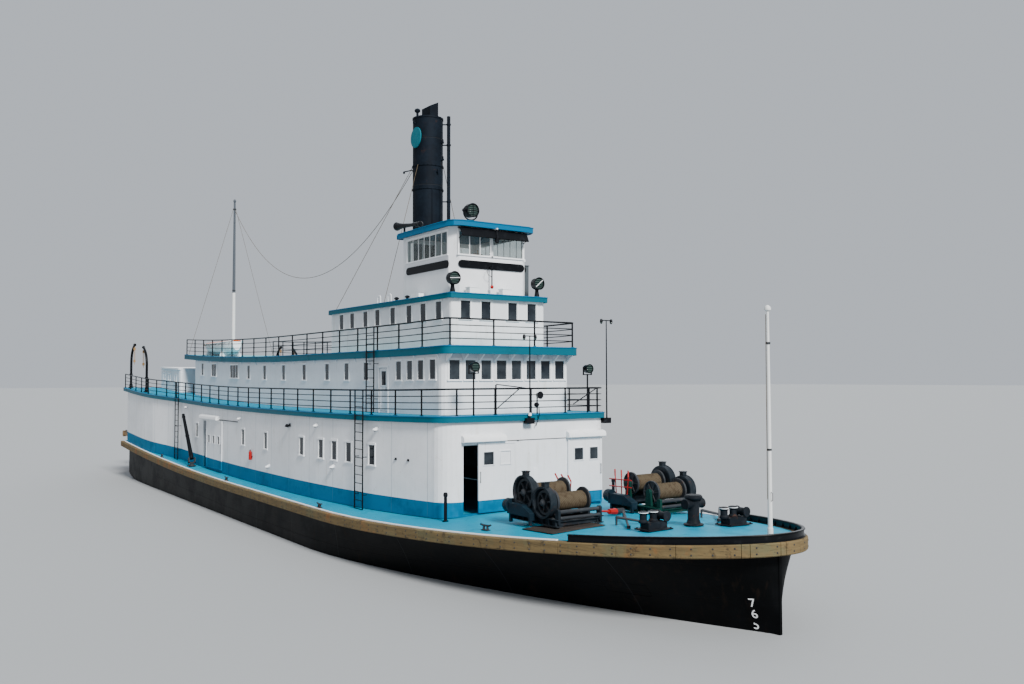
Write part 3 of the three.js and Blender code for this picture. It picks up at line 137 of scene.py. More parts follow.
def third_z(x):
    return 8.86 + sheer(x)


def fourth_z(x):
    return 11.16 + 0.6 * sheer(x)


def pilot_roof_z(x):
    return 14.34 - 0.004 * (PILOT["front"] - x)


def about(middle, reach):
    """The two places at a distance on each side of a middle."""
    return middle - reach, middle + reach


def spread(start, end, step):
    """Places from start to end, both kept, at even steps close to step."""
    count = max(1, round(abs(end - start) / step))
    return [start + (end - start) * i / count for i in range(count + 1)]


def stations(start, end):
    """The frames between two places, which the long pieces of the boat share."""
    places = [start]
    x = math.floor(start / STATION) * STATION
    while x > end + 0.4:
        if x < start - 0.4:
            places.append(x)
        x -= STATION
    return places + [end]


def arc(radius, start, end, steps):
    """Pairs on an arc round the origin, with its angles in degrees."""
    angles = [math.radians(start + (end - start) * i / steps) for i in range(steps + 1)]
    return [(radius * math.cos(a), radius * math.sin(a)) for a in angles]


def edge_line(front, back, half, corner, steps=7, out=0.0):
    """Plan of a house or deck edge, from its after end on the port side round the front."""
    port = [(x, half(x)) for x in reversed(stations(front - corner, back))]
    middle = half(front - corner) - corner
    port += [(front - corner + a, middle + b) for b, a in arc(corner, 0, 90, steps)][1:]
    line = port + [(x, -y) for x, y in reversed(port)]
    normals = [level_normal(line, i) for i in range(len(line))]
    return [(x + nx * out, y + ny * out) for (x, y), (nx, ny) in zip(line, normals)]


def level_normal(path, i, closed=False):
    """Left-hand level normal at a point of a path, as long as parallel sides need."""
    count = len(path)
    before = path[(i - 1) % count] if closed else path[max(0, i - 1)]
    after = path[(i + 1) % count] if closed else path[min(count - 1, i + 1)]
    legs = []
    for a, b in ((before, path[i]), (path[i], after)):
        leg = Vector((b[0] - a[0], b[1] - a[1]))
        if leg.length > 1e-6:
            legs.append(Vector((-leg.y, leg.x)).normalized())
    total = legs[0] + legs[-1]
    return total * (2 / total.length_squared)


def wall_frame(x, y, z, out):
    """Frame at a wall: its first axis runs along the wall, the second out of it, the third up."""
    out = Vector((*out, 0)).normalized()
    along = out.cross(Vector((0, 0, 1)))
    turn = Matrix((along, out, (0, 0, 1))).transposed().to_4x4()
    return Matrix.Translation((x, y, z)) @ turn


class Shape:
    """The solids of one piece, with the number of its material on every face."""

    def __init__(self):
        self.mesh = bmesh.new()
        self.here = Matrix.Identity(4)

    def move(self, frame_here=None):
        """What is made next stands in this frame."""
        self.here = frame_here or Matrix.Identity(4)
        return self

    def at(self, x, y, z):
        return self.move(Matrix.Translation((x, y, z)))

    def skin(self, rings, mark=0, closed=False):
        """Skin over a row of equal rings, capped unless the row closes on itself."""
        rows = [[self.mesh.verts.new(self.here @ Vector(p)) for p in ring] for ring in rings]
        count = len(rows[0])
        faces = []
        for low, high in zip(rows, rows[1:] + (rows[:1] if closed else [])):
            for j in range(count):
                k = (j + 1) % count
                faces.append((low[j], low[k], high[k], high[j]))
        if not closed:
            faces += [rows[0][::-1], rows[-1]]
        for corners in faces:
            self.mesh.faces.new(corners).material_index = mark

    def block(self, x, y, z, mark=0):
        """A box between two places each way, in either order."""
        (y0, y1), (z0, z1) = sorted(y), sorted(z)
        ring = [(y0, z0), (y1, z0), (y1, z1), (y0, z1)]
        self.skin([[(place, a, b) for a, b in ring] for place in sorted(x)], mark)

    def bar(self, start, end, radius, end_radius=None, sides=12, mark=0):
        """A round bar between two points."""
        length = (Vector(end) - Vector(start)).length
        last = radius if end_radius is None else end_radius
        self.turned(start, Vector(end) - Vector(start), [(0, radius), (length, last)], sides, mark)

    def turned(self, centre, axis, profile, sides=24, mark=0, closed=False):
        """A turned solid: each pair is the distance along the axis and the radius there."""
        axis = Vector(axis).normalized()
        side = axis.orthogonal().normalized()
        other = axis.cross(side)
        rings = []
        for along, radius in profile:
            radius = max(radius, 0.001)
            middle = Vector(centre) + axis * along
            rings.append([middle + side * a + other * b for a, b in arc(radius, 0, 360, sides)[:-1]])
        self.skin(rings, mark, closed)

    def collar(self, centre, axis, inner, outer, length, sides, closed=False):
        profile = [(0, inner), (0, outer), (length, outer), (length, inner)]
        self.turned(centre, axis, profile, sides, closed=closed)

    def spokes(self, centre, count, reach, radius, turn=0.0):
        """Round arms in the upright plane along the boat, from one reach to another."""
        x, y, z = centre
        for i in range(count):
            a = math.tau * i / count + turn
            start, end = ((x + r * math.cos(a), y, z + r * math.sin(a)) for r in reach)
            self.bar(start, end, radius, sides=8)

    def bolts(self, dx, dy, z, radius):
        """Four hexagon heads at the corners of a foot plate."""
        for x in (-dx, dx):
            for y in (-dy, dy):
                self.bar((x, y, z[0]), (x, y, z[1]), radius, sides=6)

    def pipe(self, path, radius, sides=8, mark=0, closed=False):
        """A round bar along a path."""
        points = [Vector(p) for p in path]
        count = len(points)
        side = None
        rings = []
        for i, point in enumerate(points):
            before = points[(i - 1) % count] if closed or i else point
            after = points[(i + 1) % count] if closed or i < count - 1 else point
            along = (after - before).normalized()
            if side is None:
                side = along.cross((0, 0, 1)) if abs(along.z) < 0.9 else along.cross((0, 1, 0))
            side = (side - along * side.dot(along)).normalized()
            other = along.cross(side)
            ring = arc(radius, 0, 360, sides)[:-1]
            rings.append([point + side * a + other * b for a, b in ring])
        self.skin(rings, mark, closed)

    def sweep(self, path, section, mark=0, closed=False):
        """A section of pairs, out to the left and up, along a path of points."""
        rings = []
        for i, (x, y, z) in enumerate(path):
            nx, ny = level_normal(path, i, closed)
            rings.append([(x + nx * out, y + ny * out, z + up) for out, up in section])
        self.skin(rings, mark, closed)

    def plate(self, outline, y, mark=0):
        """A flat outline in x and z, between two places across."""
        self.skin([[(a, place, b) for a, b in outline] for place in sorted(y)], mark)

    def become(self, name, *finishes, body="boat", replaces=None, bevel=0.0, angle=32):
        """Ends the shape as a piece of the model that rides on a body."""
        bmesh.ops.recalc_face_normals(self.mesh, faces=self.mesh.faces[:])
        self.mesh.transform(TO_MODEL)
        data = bpy.data.meshes.new(name)
        self.mesh.to_mesh(data)
        self.mesh.free()
        return settle(name, data, finishes, body, replaces, bevel, angle)


def shapes(count, *place):
    """New shapes, round the origin or round one place of the boat."""
    return [Shape().at(*(place or ORIGIN)) for _ in range(count)]


def settle(name, data, finishes=(), body="boat", replaces=None, bevel=0.0, angle=32):
    """Makes a mesh in the model's own place a piece: finish, edges and body."""
    piece = bpy.data.objects.new(name, data)
    bpy.context.scene.collection.objects.link(piece)
    if finishes and data.materials:
        data.materials.clear()
    for finish in finishes:
        data.materials.append(finish)
    data.shade_smooth()
    data.set_sharp_from_angle(angle=math.radians(angle))
    if bevel:
        rounding = piece.modifiers.new("rounded_edges", "BEVEL")
        rounding.width = bevel * SCALE
        rounding.segments = 2
        rounding.limit_method = "ANGLE"
        rounding.angle_limit = math.radians(50)
    if replaces:
        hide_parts(replaces)
    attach(piece, body)
    finish = next(material.name for material in data.materials if material)
    return piece


class Tree:
    """A tree of geometry nodes with named inputs, run on a path or a part and made plain mesh."""

    def __init__(self, name, **inputs):
        self.tree = bpy.data.node_groups.new(name, "GeometryNodeTree")
        face = self.tree.interface
        for way in ("INPUT", "OUTPUT"):
            face.new_socket("Geometry", in_out=way, socket_type="NodeSocketGeometry")
        kinds = {float: "Float", int: "Int", tuple: "Vector"}
        self.ids = {}
        for label, value in {**inputs, "Finish": None}.items():
            kind = kinds.get(type(value), "Material")
            socket = face.new_socket(label, in_out="INPUT", socket_type="NodeSocket" + kind)
            if value is not None:
                socket.default_value = value
            self.ids[label] = socket.identifier
        self.source = self.tree.nodes.new("NodeGroupInput")
        self.sink = self.tree.nodes.new("NodeGroupOutput")

    def add(self, kind, inputs=None, **settings):
        node = self.tree.nodes.new(kind if kind.startswith(("Shader", "Function")) else "GeometryNode" + kind)
        for name, value in settings.items():
            setattr(node, name, value)
        for key, value in (inputs or {}).items():
            self.feed(node.inputs[key], value)
        return node.outputs

    def feed(self, socket, value):
        if isinstance(value, bpy.types.NodeSocket):
            self.tree.links.new(value, socket)
        elif isinstance(value, str):
            self.tree.links.new(self.source.outputs[value], socket)
        else:
            socket.default_value = value

    def math(self, operation, a, b):
        return self.add("ShaderNodeMath", {0: a, 1: b}, operation=operation)[0]

    def axes(self, **values):
        return self.add("ShaderNodeCombineXYZ", values)[0]

    def line(self):
        return self.add("MeshToCurve", {"Mesh": "Geometry"})[0]

    def stops(self, line):
        """Points at even steps along a line."""
        return self.add("CurveToPoints", {"Curve": line, "Length": "Step"}, mode="LENGTH")

    def tube(self, line, radius, sides):
        ring = self.add("CurvePrimitiveCircle", {"Resolution": sides, "Radius": radius})[0]
        return self.add("CurveToMesh", {"Curve": line, "Profile Curve": ring, "Fill Caps": True})[0]

    def rod(self, sides, radius, length):
        return self.add("MeshCylinder", {"Vertices": sides, "Radius": radius, "Depth": length})["Mesh"]

    def move(self, part, by, key="Translation"):
        return self.add("Transform", {"Geometry": part, key: by})[0]

    def copies(self, points, part, turn=(0.0, 0.0, 0.0)):
        return self.add("InstanceOnPoints", {"Points": points, "Instance": part, "Rotation": turn})[0]

    def end(self, *parts):
        """Joins the parts, realizes the instances, sets the finish and closes the tree."""
        both = self.tree.nodes.new("GeometryNodeJoinGeometry")
        for part in parts:
            self.tree.links.new(part, both.inputs[0])
        real = self.add("RealizeInstances", {"Geometry": both.outputs[0]})[0]
        done = self.add("SetMaterial", {"Geometry": real, "Material": "Finish"})[0]
        self.tree.links.new(done, self.sink.inputs[0])
        return self

    def run(self, data, finish, **values):
        """The mesh that the tree makes from one in the model's own place, with lengths at full size."""
        carrier = bpy.data.objects.new("carrier", data)
        bpy.context.scene.collection.objects.link(carrier)
        modifier = carrier.modifiers.new("made", "NODES")
        modifier.node_group = self.tree
        modifier[self.ids["Finish"]] = finish
        for label, value in values.items():
            modifier[self.ids[label]] = value * SCALE if isinstance(value, float) else value
        graph = bpy.context.evaluated_depsgraph_get()
        made = bpy.data.meshes.new_from_object(carrier.evaluated_get(graph), depsgraph=graph)
        carrier.modifiers.remove(modifier)
        bpy.data.objects.remove(carrier)
        return made


def line_mesh(paths):
    """Open lines as the edges of one mesh, taken to the model's own place."""
    data = bpy.data.meshes.new("lines")
    points, edges = [], []
    for path in paths:
        first = len(points)
        points += [TO_MODEL @ Vector(p) for p in path]
        edges += [(first + i, first + i + 1) for i in range(len(path) - 1)]
    data.from_pydata(points, edges, [])
    return data


# Finishes

def tint(code):
    """A display colour, written as six hex digits, as linear light."""
    parts = [int(code[i:i + 2], 16) / 255 for i in (0, 2, 4)]
    linear = [c / 12.92 if c < 0.04045 else ((c + 0.055) / 1.055) ** 2.4 for c in parts]
    return (*linear, 1.0)


class Paint:
    """The node tree of a material or of a shader group, with short calls to fill it."""

    def __init__(self, tree):
        self.tree = tree

    def add(self, kind, inputs=None, **settings):
        node = self.tree.nodes.new("ShaderNode" + kind)
        for name, value in settings.items():
            setattr(node, name, value)
        for key, value in (inputs or {}).items():
            self.feed(node.inputs[key], value)
        return node

    def feed(self, socket, value):
        if isinstance(value, bpy.types.NodeSocket):
            self.tree.links.new(value, socket)
        else:
            socket.default_value = tint(value) if isinstance(value, str) else value

    def math(self, operation, a, b=0.0, limit=False):
        return self.add("Math", {0: a, 1: b}, operation=operation, use_clamp=limit).outputs[0]

    def vector(self, operation, a, b):
        return self.add("VectorMath", {0: a, 1: b}, operation=operation).outputs[0]

    def ramp(self, value, low, high):
        """Zero below low, one above high, smooth between."""
        values = {"Value": value, "From Min": low, "From Max": high}
        return self.add("MapRange", values, interpolation_type="SMOOTHSTEP").outputs["Result"]

    def mix(self, share, a, b):
        node = self.add("Mix", data_type="RGBA")
        self.feed(node.inputs[0], share)
        self.feed(node.inputs[6], a)
        self.feed(node.inputs[7], b)
        return node.outputs[2]

    def noise(self, place, scale, detail=4.0, rough=0.55):
        values = {"Vector": place, "Scale": scale, "Detail": detail, "Roughness": rough}
        return self.add("TexNoise", values).outputs["Fac"]

    def spot(self):
        return self.add("TexCoord").outputs["Object"]


def shader_group(name, inputs, outputs, fill):
    """A shader node group with named inputs and outputs; fill returns a socket for each output."""
    tree = bpy.data.node_groups.new(name, "ShaderNodeTree")
    for label, kind, value in inputs:
        socket = tree.interface.new_socket(label, in_out="INPUT", socket_type="NodeSocket" + kind)
        socket.default_value = value
    for label, kind in outputs:
        tree.interface.new_socket(label, in_out="OUTPUT", socket_type="NodeSocket" + kind)
    source = tree.nodes.new("NodeGroupInput")
    sink = tree.nodes.new("NodeGroupOutput")
    for socket, made in zip(sink.inputs, fill(Paint(tree), source.outputs)):
        tree.links.new(made, socket)
    return tree


def fill_patches(p, given):
    place = p.spot()
    broad = p.noise(place, given["Scale"], 5.0, 0.6)
    fine = p.noise(place, p.math("MULTIPLY", given["Scale"], 6.0), 3.0)
    blend = p.math("ADD", p.math("MULTIPLY", broad, 0.75), p.math("MULTIPLY", fine, 0.25))
    mask = p.ramp(blend, p.math("SUBTRACT", 0.62, given["Spread"]), 0.66)
    mask = p.math("MULTIPLY", mask, given["Amount"])
    return p.mix(mask, given["Colour"], given["Second"]), mask


def fill_streaks(p, given):
    stretched = p.vector("MULTIPLY", p.spot(), (1.0, 1.0, 0.07))
    lines = p.noise(stretched, given["Scale"], 3.0, 0.6)
    broken = p.noise(p.spot(), 1.3, 3.0)
    mask = p.math("MULTIPLY", p.ramp(lines, 0.52, 0.74), p.ramp(broken, 0.35, 0.65))
    mask = p.math("MULTIPLY", mask, given["Amount"])
    return p.mix(mask, given["Colour"], given["Stain"]), mask


def fill_seams(p, given):
    along = p.add("VectorMath", {0: p.spot(), 1: given["Along"]}, operation="DOT_PRODUCT")
    turns = p.math("DIVIDE", along.outputs["Value"], given["Pitch"])
    away = p.math("PINGPONG", turns, 0.5)
    share = p.math("DIVIDE", given["Width"], given["Pitch"])
    return (p.math("SUBTRACT", 1.0, p.ramp(away, 0.0, share)),)


def fill_grain(p, given):
    stretched = p.vector("MULTIPLY", p.spot(), given["Stretch"])
    rings = p.noise(stretched, given["Scale"], 6.0, 0.65)
    splits = p.noise(stretched, p.math("MULTIPLY", given["Scale"], 3.0), 2.0)
    crack = p.ramp(splits, 0.62, 0.7)
    return p.mix(rings, given["Light"], given["Dark"]), rings, crack


def fill_over_deck(p, given):
    """Height over the main deck's line on the full-size boat, from the sheer's own formula."""
    axes = p.add("SeparateXYZ", {0: p.spot()}).outputs
    x = p.math("SUBTRACT", p.math("DIVIDE", axes["X"], SCALE), STEM)
    z = p.math("SUBTRACT", p.math("DIVIDE", axes["Z"], SCALE), DRAUGHT)
    fore = p.math("MAXIMUM", p.math("ADD", x, 20.0), 0.0)
    aft = p.math("MAXIMUM", p.math("SUBTRACT", -30.0, x), 0.0)
    rise = p.math("ADD", p.math("MULTIPLY", p.math("POWER", fore, 2.0), 0.0015),
        p.math("MULTIPLY", p.math("POWER", aft, 2.0), 0.0011))
    return (p.math("SUBTRACT", p.math("SUBTRACT", z, rise), DECK_CROWN),)


COLOUR, FLOAT, VECTOR = "Color", "Float", "Vector"
WHITE = (1.0, 1.0, 1.0, 1.0)
PATCHES = shader_group("uneven_paint", [
    ("Colour", COLOUR, WHITE), ("Second", COLOUR, WHITE), ("Scale", FLOAT, 1.0),
    ("Spread", FLOAT, 0.15), ("Amount", FLOAT, 1.0),
], [("Colour", COLOUR), ("Mask", FLOAT)], fill_patches)
STREAKS = shader_group("running_streaks", [
    ("Colour", COLOUR, WHITE), ("Stain", COLOUR, WHITE), ("Scale", FLOAT, 6.0), ("Amount", FLOAT, 0.5),
], [("Colour", COLOUR), ("Mask", FLOAT)], fill_streaks)
SEAMS = shader_group("joints_at_steps", [
    ("Along", VECTOR, (1.0, 0.0, 0.0)), ("Pitch", FLOAT, 1.0), ("Width", FLOAT, 0.01),
], [("Line", FLOAT)], fill_seams)
GRAIN = shader_group("wood_grain", [
    ("Light", COLOUR, WHITE), ("Dark", COLOUR, WHITE), ("Stretch", VECTOR, (0.08, 1.0, 1.0)),
    ("Scale", FLOAT, 18.0),
], [("Colour", COLOUR), ("Rings", FLOAT), ("Crack", FLOAT)], fill_grain)
OVER_DECK = shader_group("height_over_deck", [], [("Height", FLOAT)], fill_over_deck)


class Finish:
    """A material with one Principled shader, built up coat by coat."""

    def __init__(self, name, colour, roughness, metallic=0.0, coat=0.0, sheen=0.3):
        self.material = bpy.data.materials.new(name)
        self.material.use_nodes = True
        self.paint = Paint(self.material.node_tree)
        self.shader = next(n for n in self.material.node_tree.nodes if n.type == "BSDF_PRINCIPLED")
        self.colour = colour
        self.roughness = roughness
        self.heights = []
        self.shader.inputs["Metallic"].default_value = metallic
        self.shader.inputs["Specular IOR Level"].default_value = sheen
        self.shader.inputs["Coat Weight"].default_value = coat

    def group(self, tree, **values):
        node = self.paint.tree.nodes.new("ShaderNodeGroup")
        node.node_tree = tree
        for label, value in values.items():
            self.paint.feed(node.inputs[label], value)
        return node.outputs

    def patches(self, second, scale, amount=1.0, spread=0.15, rough=None):
        made = self.group(PATCHES, Colour=self.colour, Second=second, Scale=scale, Amount=amount,
            Spread=spread)
        self.colour = made["Colour"]
        self.roughen(made["Mask"], rough)
        return self

    def streaks(self, stain, scale, amount=0.5, rough=None):
        made = self.group(STREAKS, Colour=self.colour, Stain=stain, Scale=scale, Amount=amount)
        self.colour = made["Colour"]
        self.roughen(made["Mask"], rough)
        return self

    def grain(self, light, dark, stretch, scale):
        made = self.group(GRAIN, Light=light, Dark=dark, Stretch=stretch, Scale=scale)
        self.colour = made["Colour"]
        return made

    def roughen(self, mask, rough):
        if rough is None:
            return
        span = self.paint.add("MapRange", {"Value": mask, "To Min": self.roughness, "To Max": rough})
        self.roughness = span.outputs["Result"]

    def seams(self, along, pitch, width, shade=None, depth=0.0):
        line = self.group(SEAMS, Along=along, Pitch=pitch * SCALE, Width=width * SCALE)["Line"]
        if shade:
            share = self.paint.math("MULTIPLY", line, shade[3])
            self.colour = self.paint.mix(share, self.colour, (*shade[:3], 1.0))
        if depth:
            self.heights.append((self.paint.math("SUBTRACT", 1.0, line), depth))
        return self

    def texture(self, scale, depth, detail=3.0, stretch=None):
        place = self.paint.spot()
        if stretch:
            place = self.paint.vector("MULTIPLY", place, stretch)
        self.heights.append((self.paint.noise(place, scale, detail), depth))
        return self

    def done(self):
        """Feeds the coats to the shader and returns the material."""
        self.paint.feed(self.shader.inputs["Base Color"], self.colour)
        self.paint.feed(self.shader.inputs["Roughness"], self.roughness)
        normal = None
        for height, depth in self.heights:
            values = {"Height": height, "Distance": depth * SCALE, "Strength": 1.0}
            if normal:
                values["Normal"] = normal
            normal = self.paint.add("Bump", values).outputs["Normal"]
        if normal:
            self.paint.feed(self.shader.inputs["Normal"], normal)
        return self.material


def hull_black():
    f = Finish("hull_black", "040506", 0.45, sheen=0.06)
    f.patches("0a0c0f", 1.4, 0.7, 0.2, rough=0.6)
    f.streaks("2c2018", 9.0, 0.35, rough=0.7)
    f.seams((1.0, 0.0, 0.0), 4.8, 0.03, (0.02, 0.022, 0.026, 0.5), depth=0.004)
    f.seams((0.0, 0.0, 1.0), 1.15, 0.03, depth=0.003)
    return f.texture(1.1, 0.02, 2.0).texture(60.0, 0.001).done()


def guard_timber():
    f = Finish("guard_timber", None, 0.85)
    wood = f.grain("85714b", "3c3222", (0.06, 0.06, 1.0), 26.0)
    f.patches("5a6048", 1.6, 0.5, 0.12)
    f.patches("8a5529", 0.9, 0.6, 0.07)
    f.patches("2a261e", 5.0, 0.65, 0.08)
    f.colour = f.paint.mix(f.paint.math("MULTIPLY", wood["Crack"], 0.7), f.colour, "2a241c")
    f.heights.append((wood["Rings"], 0.012))
    return f.texture(7.0, 0.02).done()


def plain_paint(name, colour, roughness=0.45, wear="8d8f8c", scale=3.0, amount=0.35, metallic=0.0, coat=0.0):
    """Brushed paint on wood or steel, with faint wear and unevenness."""
    f = Finish(name, colour, roughness, metallic, coat, sheen=0.1)
    f.patches(wear, scale, amount, 0.08, rough=min(1.0, roughness + 0.25))
    return f.texture(45.0, 0.0015).texture(4.0, 0.004).done()


def deck_cyan():
    f = Finish("deck_cyan", "0087a8", 0.5, sheen=0.04)
    f.patches("0095b2", 0.8, 0.8, 0.25)
    f.patches("006f8b", 2.5, 0.5, 0.1, rough=0.6)
    f.patches("3a6c76", 7.0, 0.3, 0.02, rough=0.7)
    f.seams((0.0, 1.0, 0.0), 1.2, 0.02, (0.01, 0.25, 0.32, 0.35), depth=0.003)
    f.seams((1.0, 0.0, 0.0), 3.0, 0.02, (0.01, 0.25, 0.32, 0.35), depth=0.003)
    return f.texture(1.5, 0.012).texture(80.0, 0.001).done()


def house_white(name="house_white", band=False):
    """White house paint, with the blue base band where the wall meets the main deck."""
    f = Finish(name, "eceef1", 0.6, sheen=0.05)
    f.patches("dfe2e5", 0.9, 0.8, 0.25)
    f.streaks("c6c4bb", 11.0, 0.4, rough=0.65)
    f.patches("a9a496", 9.0, 0.25, 0.01)
    if band:
        height = f.group(OVER_DECK)["Height"]
        share = f.paint.math("SUBTRACT", 1.0, f.paint.ramp(height, 0.495, 0.505))
        blue = f.group(PATCHES, Colour="006a90", Second="00587a", Scale=1.5, Amount=0.8)
        f.colour = f.paint.mix(share, f.colour, blue["Colour"])
        f.seams((1.0, 0.0, 0.0), 2.4, 0.04, (0.1, 0.2, 0.25, 0.35), depth=0.006)
    return f.texture(1.2, 0.012, 2.0).texture(55.0, 0.0012).done()


def deck_and_edge(name, top, side):
    """A deck slab: one paint on its top and another on its edge and underside."""
    f = Finish(name, side, 0.5, sheen=0.06)
    up = f.paint.add("SeparateXYZ", {0: f.paint.add("TexCoord").outputs["Normal"]}).outputs["Z"]
    share = f.paint.ramp(up, 0.6, 0.8)
    f.patches(side, 2.0, 0.5)
    deck = f.group(PATCHES, Colour=top, Second="6f8a8e", Scale=3.0, Amount=0.6, Spread=0.1)
    f.colour = f.paint.mix(share, f.colour, deck["Colour"])
    f.roughen(share, 0.7)
    return f.texture(3.0, 0.006).texture(60.0, 0.001).done()


def iron_paint(name, colour, rust=0.4, roughness=0.5, metallic=0.2, worn="4b4c4d"):
    """Painted cast and plate iron with rust showing through."""
    f = Finish(name, colour, roughness, metallic, sheen=0.1)
    f.patches(worn, 5.0, 0.5, 0.15, rough=0.7)
    f.patches("5f3a24", 8.0, rust, 0.04, rough=0.9)
    return f.texture(30.0, 0.004).texture(120.0, 0.001).done()


def stack_paint():
    f = Finish("stack_black", "0b1119", 0.6, sheen=0.08)
    f.patches("141d27", 2.0, 0.8, 0.25, rough=0.7)
    f.streaks("06090d", 5.0, 0.7)
    f.patches("3a2418", 6.0, 0.3, 0.02)
    f.seams((0.0, 0.0, 1.0), 2.3, 0.03, (0.02, 0.02, 0.02, 0.6), depth=0.01)
    return f.texture(2.0, 0.03, 2.0).done()


def spar_paint():
    f = Finish("spar_white", "dcdedd", 0.5)
    f.streaks("9d9a8e", 20.0, 0.5)
    return f.texture(30.0, 0.002).done()


def wheel_timber():
    f = Finish("wheel_red", None, 0.7)
    wood = f.grain("a63a2c", "6f2219", (1.0, 0.05, 1.0), 22.0)
    f.patches("5f4a3c", 4.0, 0.7, 0.1, rough=0.9)
    f.heights.append((wood["Rings"], 0.01))
    return f.done()


def oiled_timber(name, light, dark):
    f = Finish(name, None, 0.6)
    wood = f.grain(light, dark, (0.05, 1.0, 1.0), 20.0)
    f.heights.append((wood["Rings"], 0.008))
    return f.done()


def cabin_glass():
    """Panes that show a dark room: a deep sheen over a tone that changes from pane to pane."""
    f = Finish("cabin_glass", "151b22", 0.08)
    f.patches("3c4348", 0.7, 0.8, 0.2)
    return f.texture(1.5, 0.004, 1.0).done()


def clear_glass():
    f = Finish("clear_glass", "eef4f2", 0.03)
    f.shader.inputs["Transmission Weight"].default_value = 0.95
    f.shader.inputs["IOR"].default_value = 1.05
    return f.texture(2.0, 0.001, 1.0).done()


def lamp_glass():
    f = Finish("lamp_glass", "0d211f", 0.1, 0.0, 0.2, sheen=0.2)
    f.seams((0.0, 0.0, 1.0), 0.09, 0.02, (0.1, 0.14, 0.12, 0.7), depth=0.01)
    return f.done()


def rope_finish():
    f = Finish("wire_rope", "6f6350", 0.7, 0.1, sheen=0.1)
    f.patches("463426", 12.0, 0.8, 0.15, rough=0.85)
    f.seams((0.0, 1.0, 0.3), 0.03, 0.012, (0.05, 0.04, 0.03, 0.7), depth=0.004)
    return f.done()


HULL_PAINT = hull_black()
TIMBER = guard_timber()
BLACK = plain_paint("rail_black", "0c0e12", 0.35, "26292d", 6.0, 0.4)
CYAN = deck_cyan()
HOUSE = house_white()
BANDED = house_white("house_white_banded", band=True)
TRIM = plain_paint("trim_white", "f1f3f5", 0.4, "d6d5cf", 4.0, 0.4)
PLATE_TEAL = plain_paint("plate_teal", "16707e", 0.5, "1f5866", 5.0, 0.5)
TEAL = plain_paint("deck_teal", "005a6c", 0.42, "174a54", 2.2, 0.45)
BLUE = plain_paint("band_blue", "00628a", 0.4, "0f5a78", 2.0, 0.45)
IRON = iron_paint("iron_grey", "34373b", 0.5)
BOW_IRON = iron_paint("bow_iron", "171b20", 0.4, 0.55, 0.0, "2a2f35")
RUSTY = iron_paint("rusty_plate", "33302e", 0.8, 0.8, 0.0, "56483d")
WINCH_BLUE = iron_paint("winch_blue_black", "12222c", 0.2, 0.45, 0.0, "1d3440")
WINCH_DARK = iron_paint("winch_dark", "1c2329", 0.35, 0.5, 0.0, "343a40")
WINCH_GREEN = iron_paint("winch_green", "0a332c", 0.25, 0.45, 0.0, "143e38")
STACK_PAINT = stack_paint()
SPAR = spar_paint()
MAST_GREY = plain_paint("mast_grey", "50565d", 0.5, "34393f", 6.0, 0.4)
WHEEL_RED = wheel_timber()
BEAM_WHITE = plain_paint("beam_white", "d9dad6", 0.6, "8f8676", 2.0, 0.6)
ARM = oiled_timber("arm_timber", "b08a58", "6d4f2c")
ENGINE = iron_paint("engine_grey", "5b6266", 0.15, 0.4, 0.5)
ORANGE = plain_paint("boat_orange", "d4602c", 0.45, "b98a6d", 3.0, 0.4)
LAMP = plain_paint("lamp_dark", "15171b", 0.28, "3b3e42", 8.0, 0.35, 0.2)
RED = plain_paint("signal_red", "a3201f", 0.4, "4b1513", 9.0, 0.5)
PANE = cabin_glass()
CLEAR = clear_glass()
LENS = lamp_glass()
BRASS = plain_paint("brass", "a98a4a", 0.3, "6b5832", 10.0, 0.4, 0.9)
STEEL = plain_paint("bare_metal", "9b9ea0", 0.35, "6a5a4c", 9.0, 0.4, 0.8)
WIRE = rope_finish()


# Hull

HULL_LEVELS = [
    # height as a share of the depth, lean to the deck line, share of the half beam, set back
    (0.0, 0.0, 0.9, 1.2), (0.1, 0.0, 0.975, 0.7), (0.25, 0.0, 1.0, 0.3),
    (0.45, 0.05, 1.0, 0.0), (0.72, 0.45, 1.0, 0.0), (1.0, 1.0, 1.0, 0.0),
]
STEM_HALF = 0.07


def level_half(x, level):
    _, fullness, side, back = level
    fine = 1 - (1 - clamp((-x - back) / 21)) ** 1.5
    full = math.sqrt(1 - (1 - clamp(-x / 19)) ** 1.6)
    return max(STEM_HALF, HULL_HALF * side * (fine * (1 - fullness) + full * fullness))


def hull_ends(x):
    bottom = 1.3 * clamp((-44 - x) / (-44 - TRANSOM)) ** 1.3 - DRAUGHT
    return bottom, edge_z(x) - 0.4 - 0.013


def hull_half_at(x, up):
    """Half breadth at a share of the depth, on a smooth line through the levels."""
    for low, high in zip(HULL_LEVELS, HULL_LEVELS[1:]):
        if up <= high[0]:
            k = (up - low[0]) / (high[0] - low[0])
            return level_half(x, low) * (1 - k) + level_half(x, high) * k
    return level_half(x, HULL_LEVELS[-1])


def hull_point(x, z, proud=0.0):
    """Starboard skin of the hull at a height over the water."""
    bottom, top = hull_ends(x)
    return (x, -hull_half_at(x, clamp((z - bottom) / (top - bottom))) - proud, z)


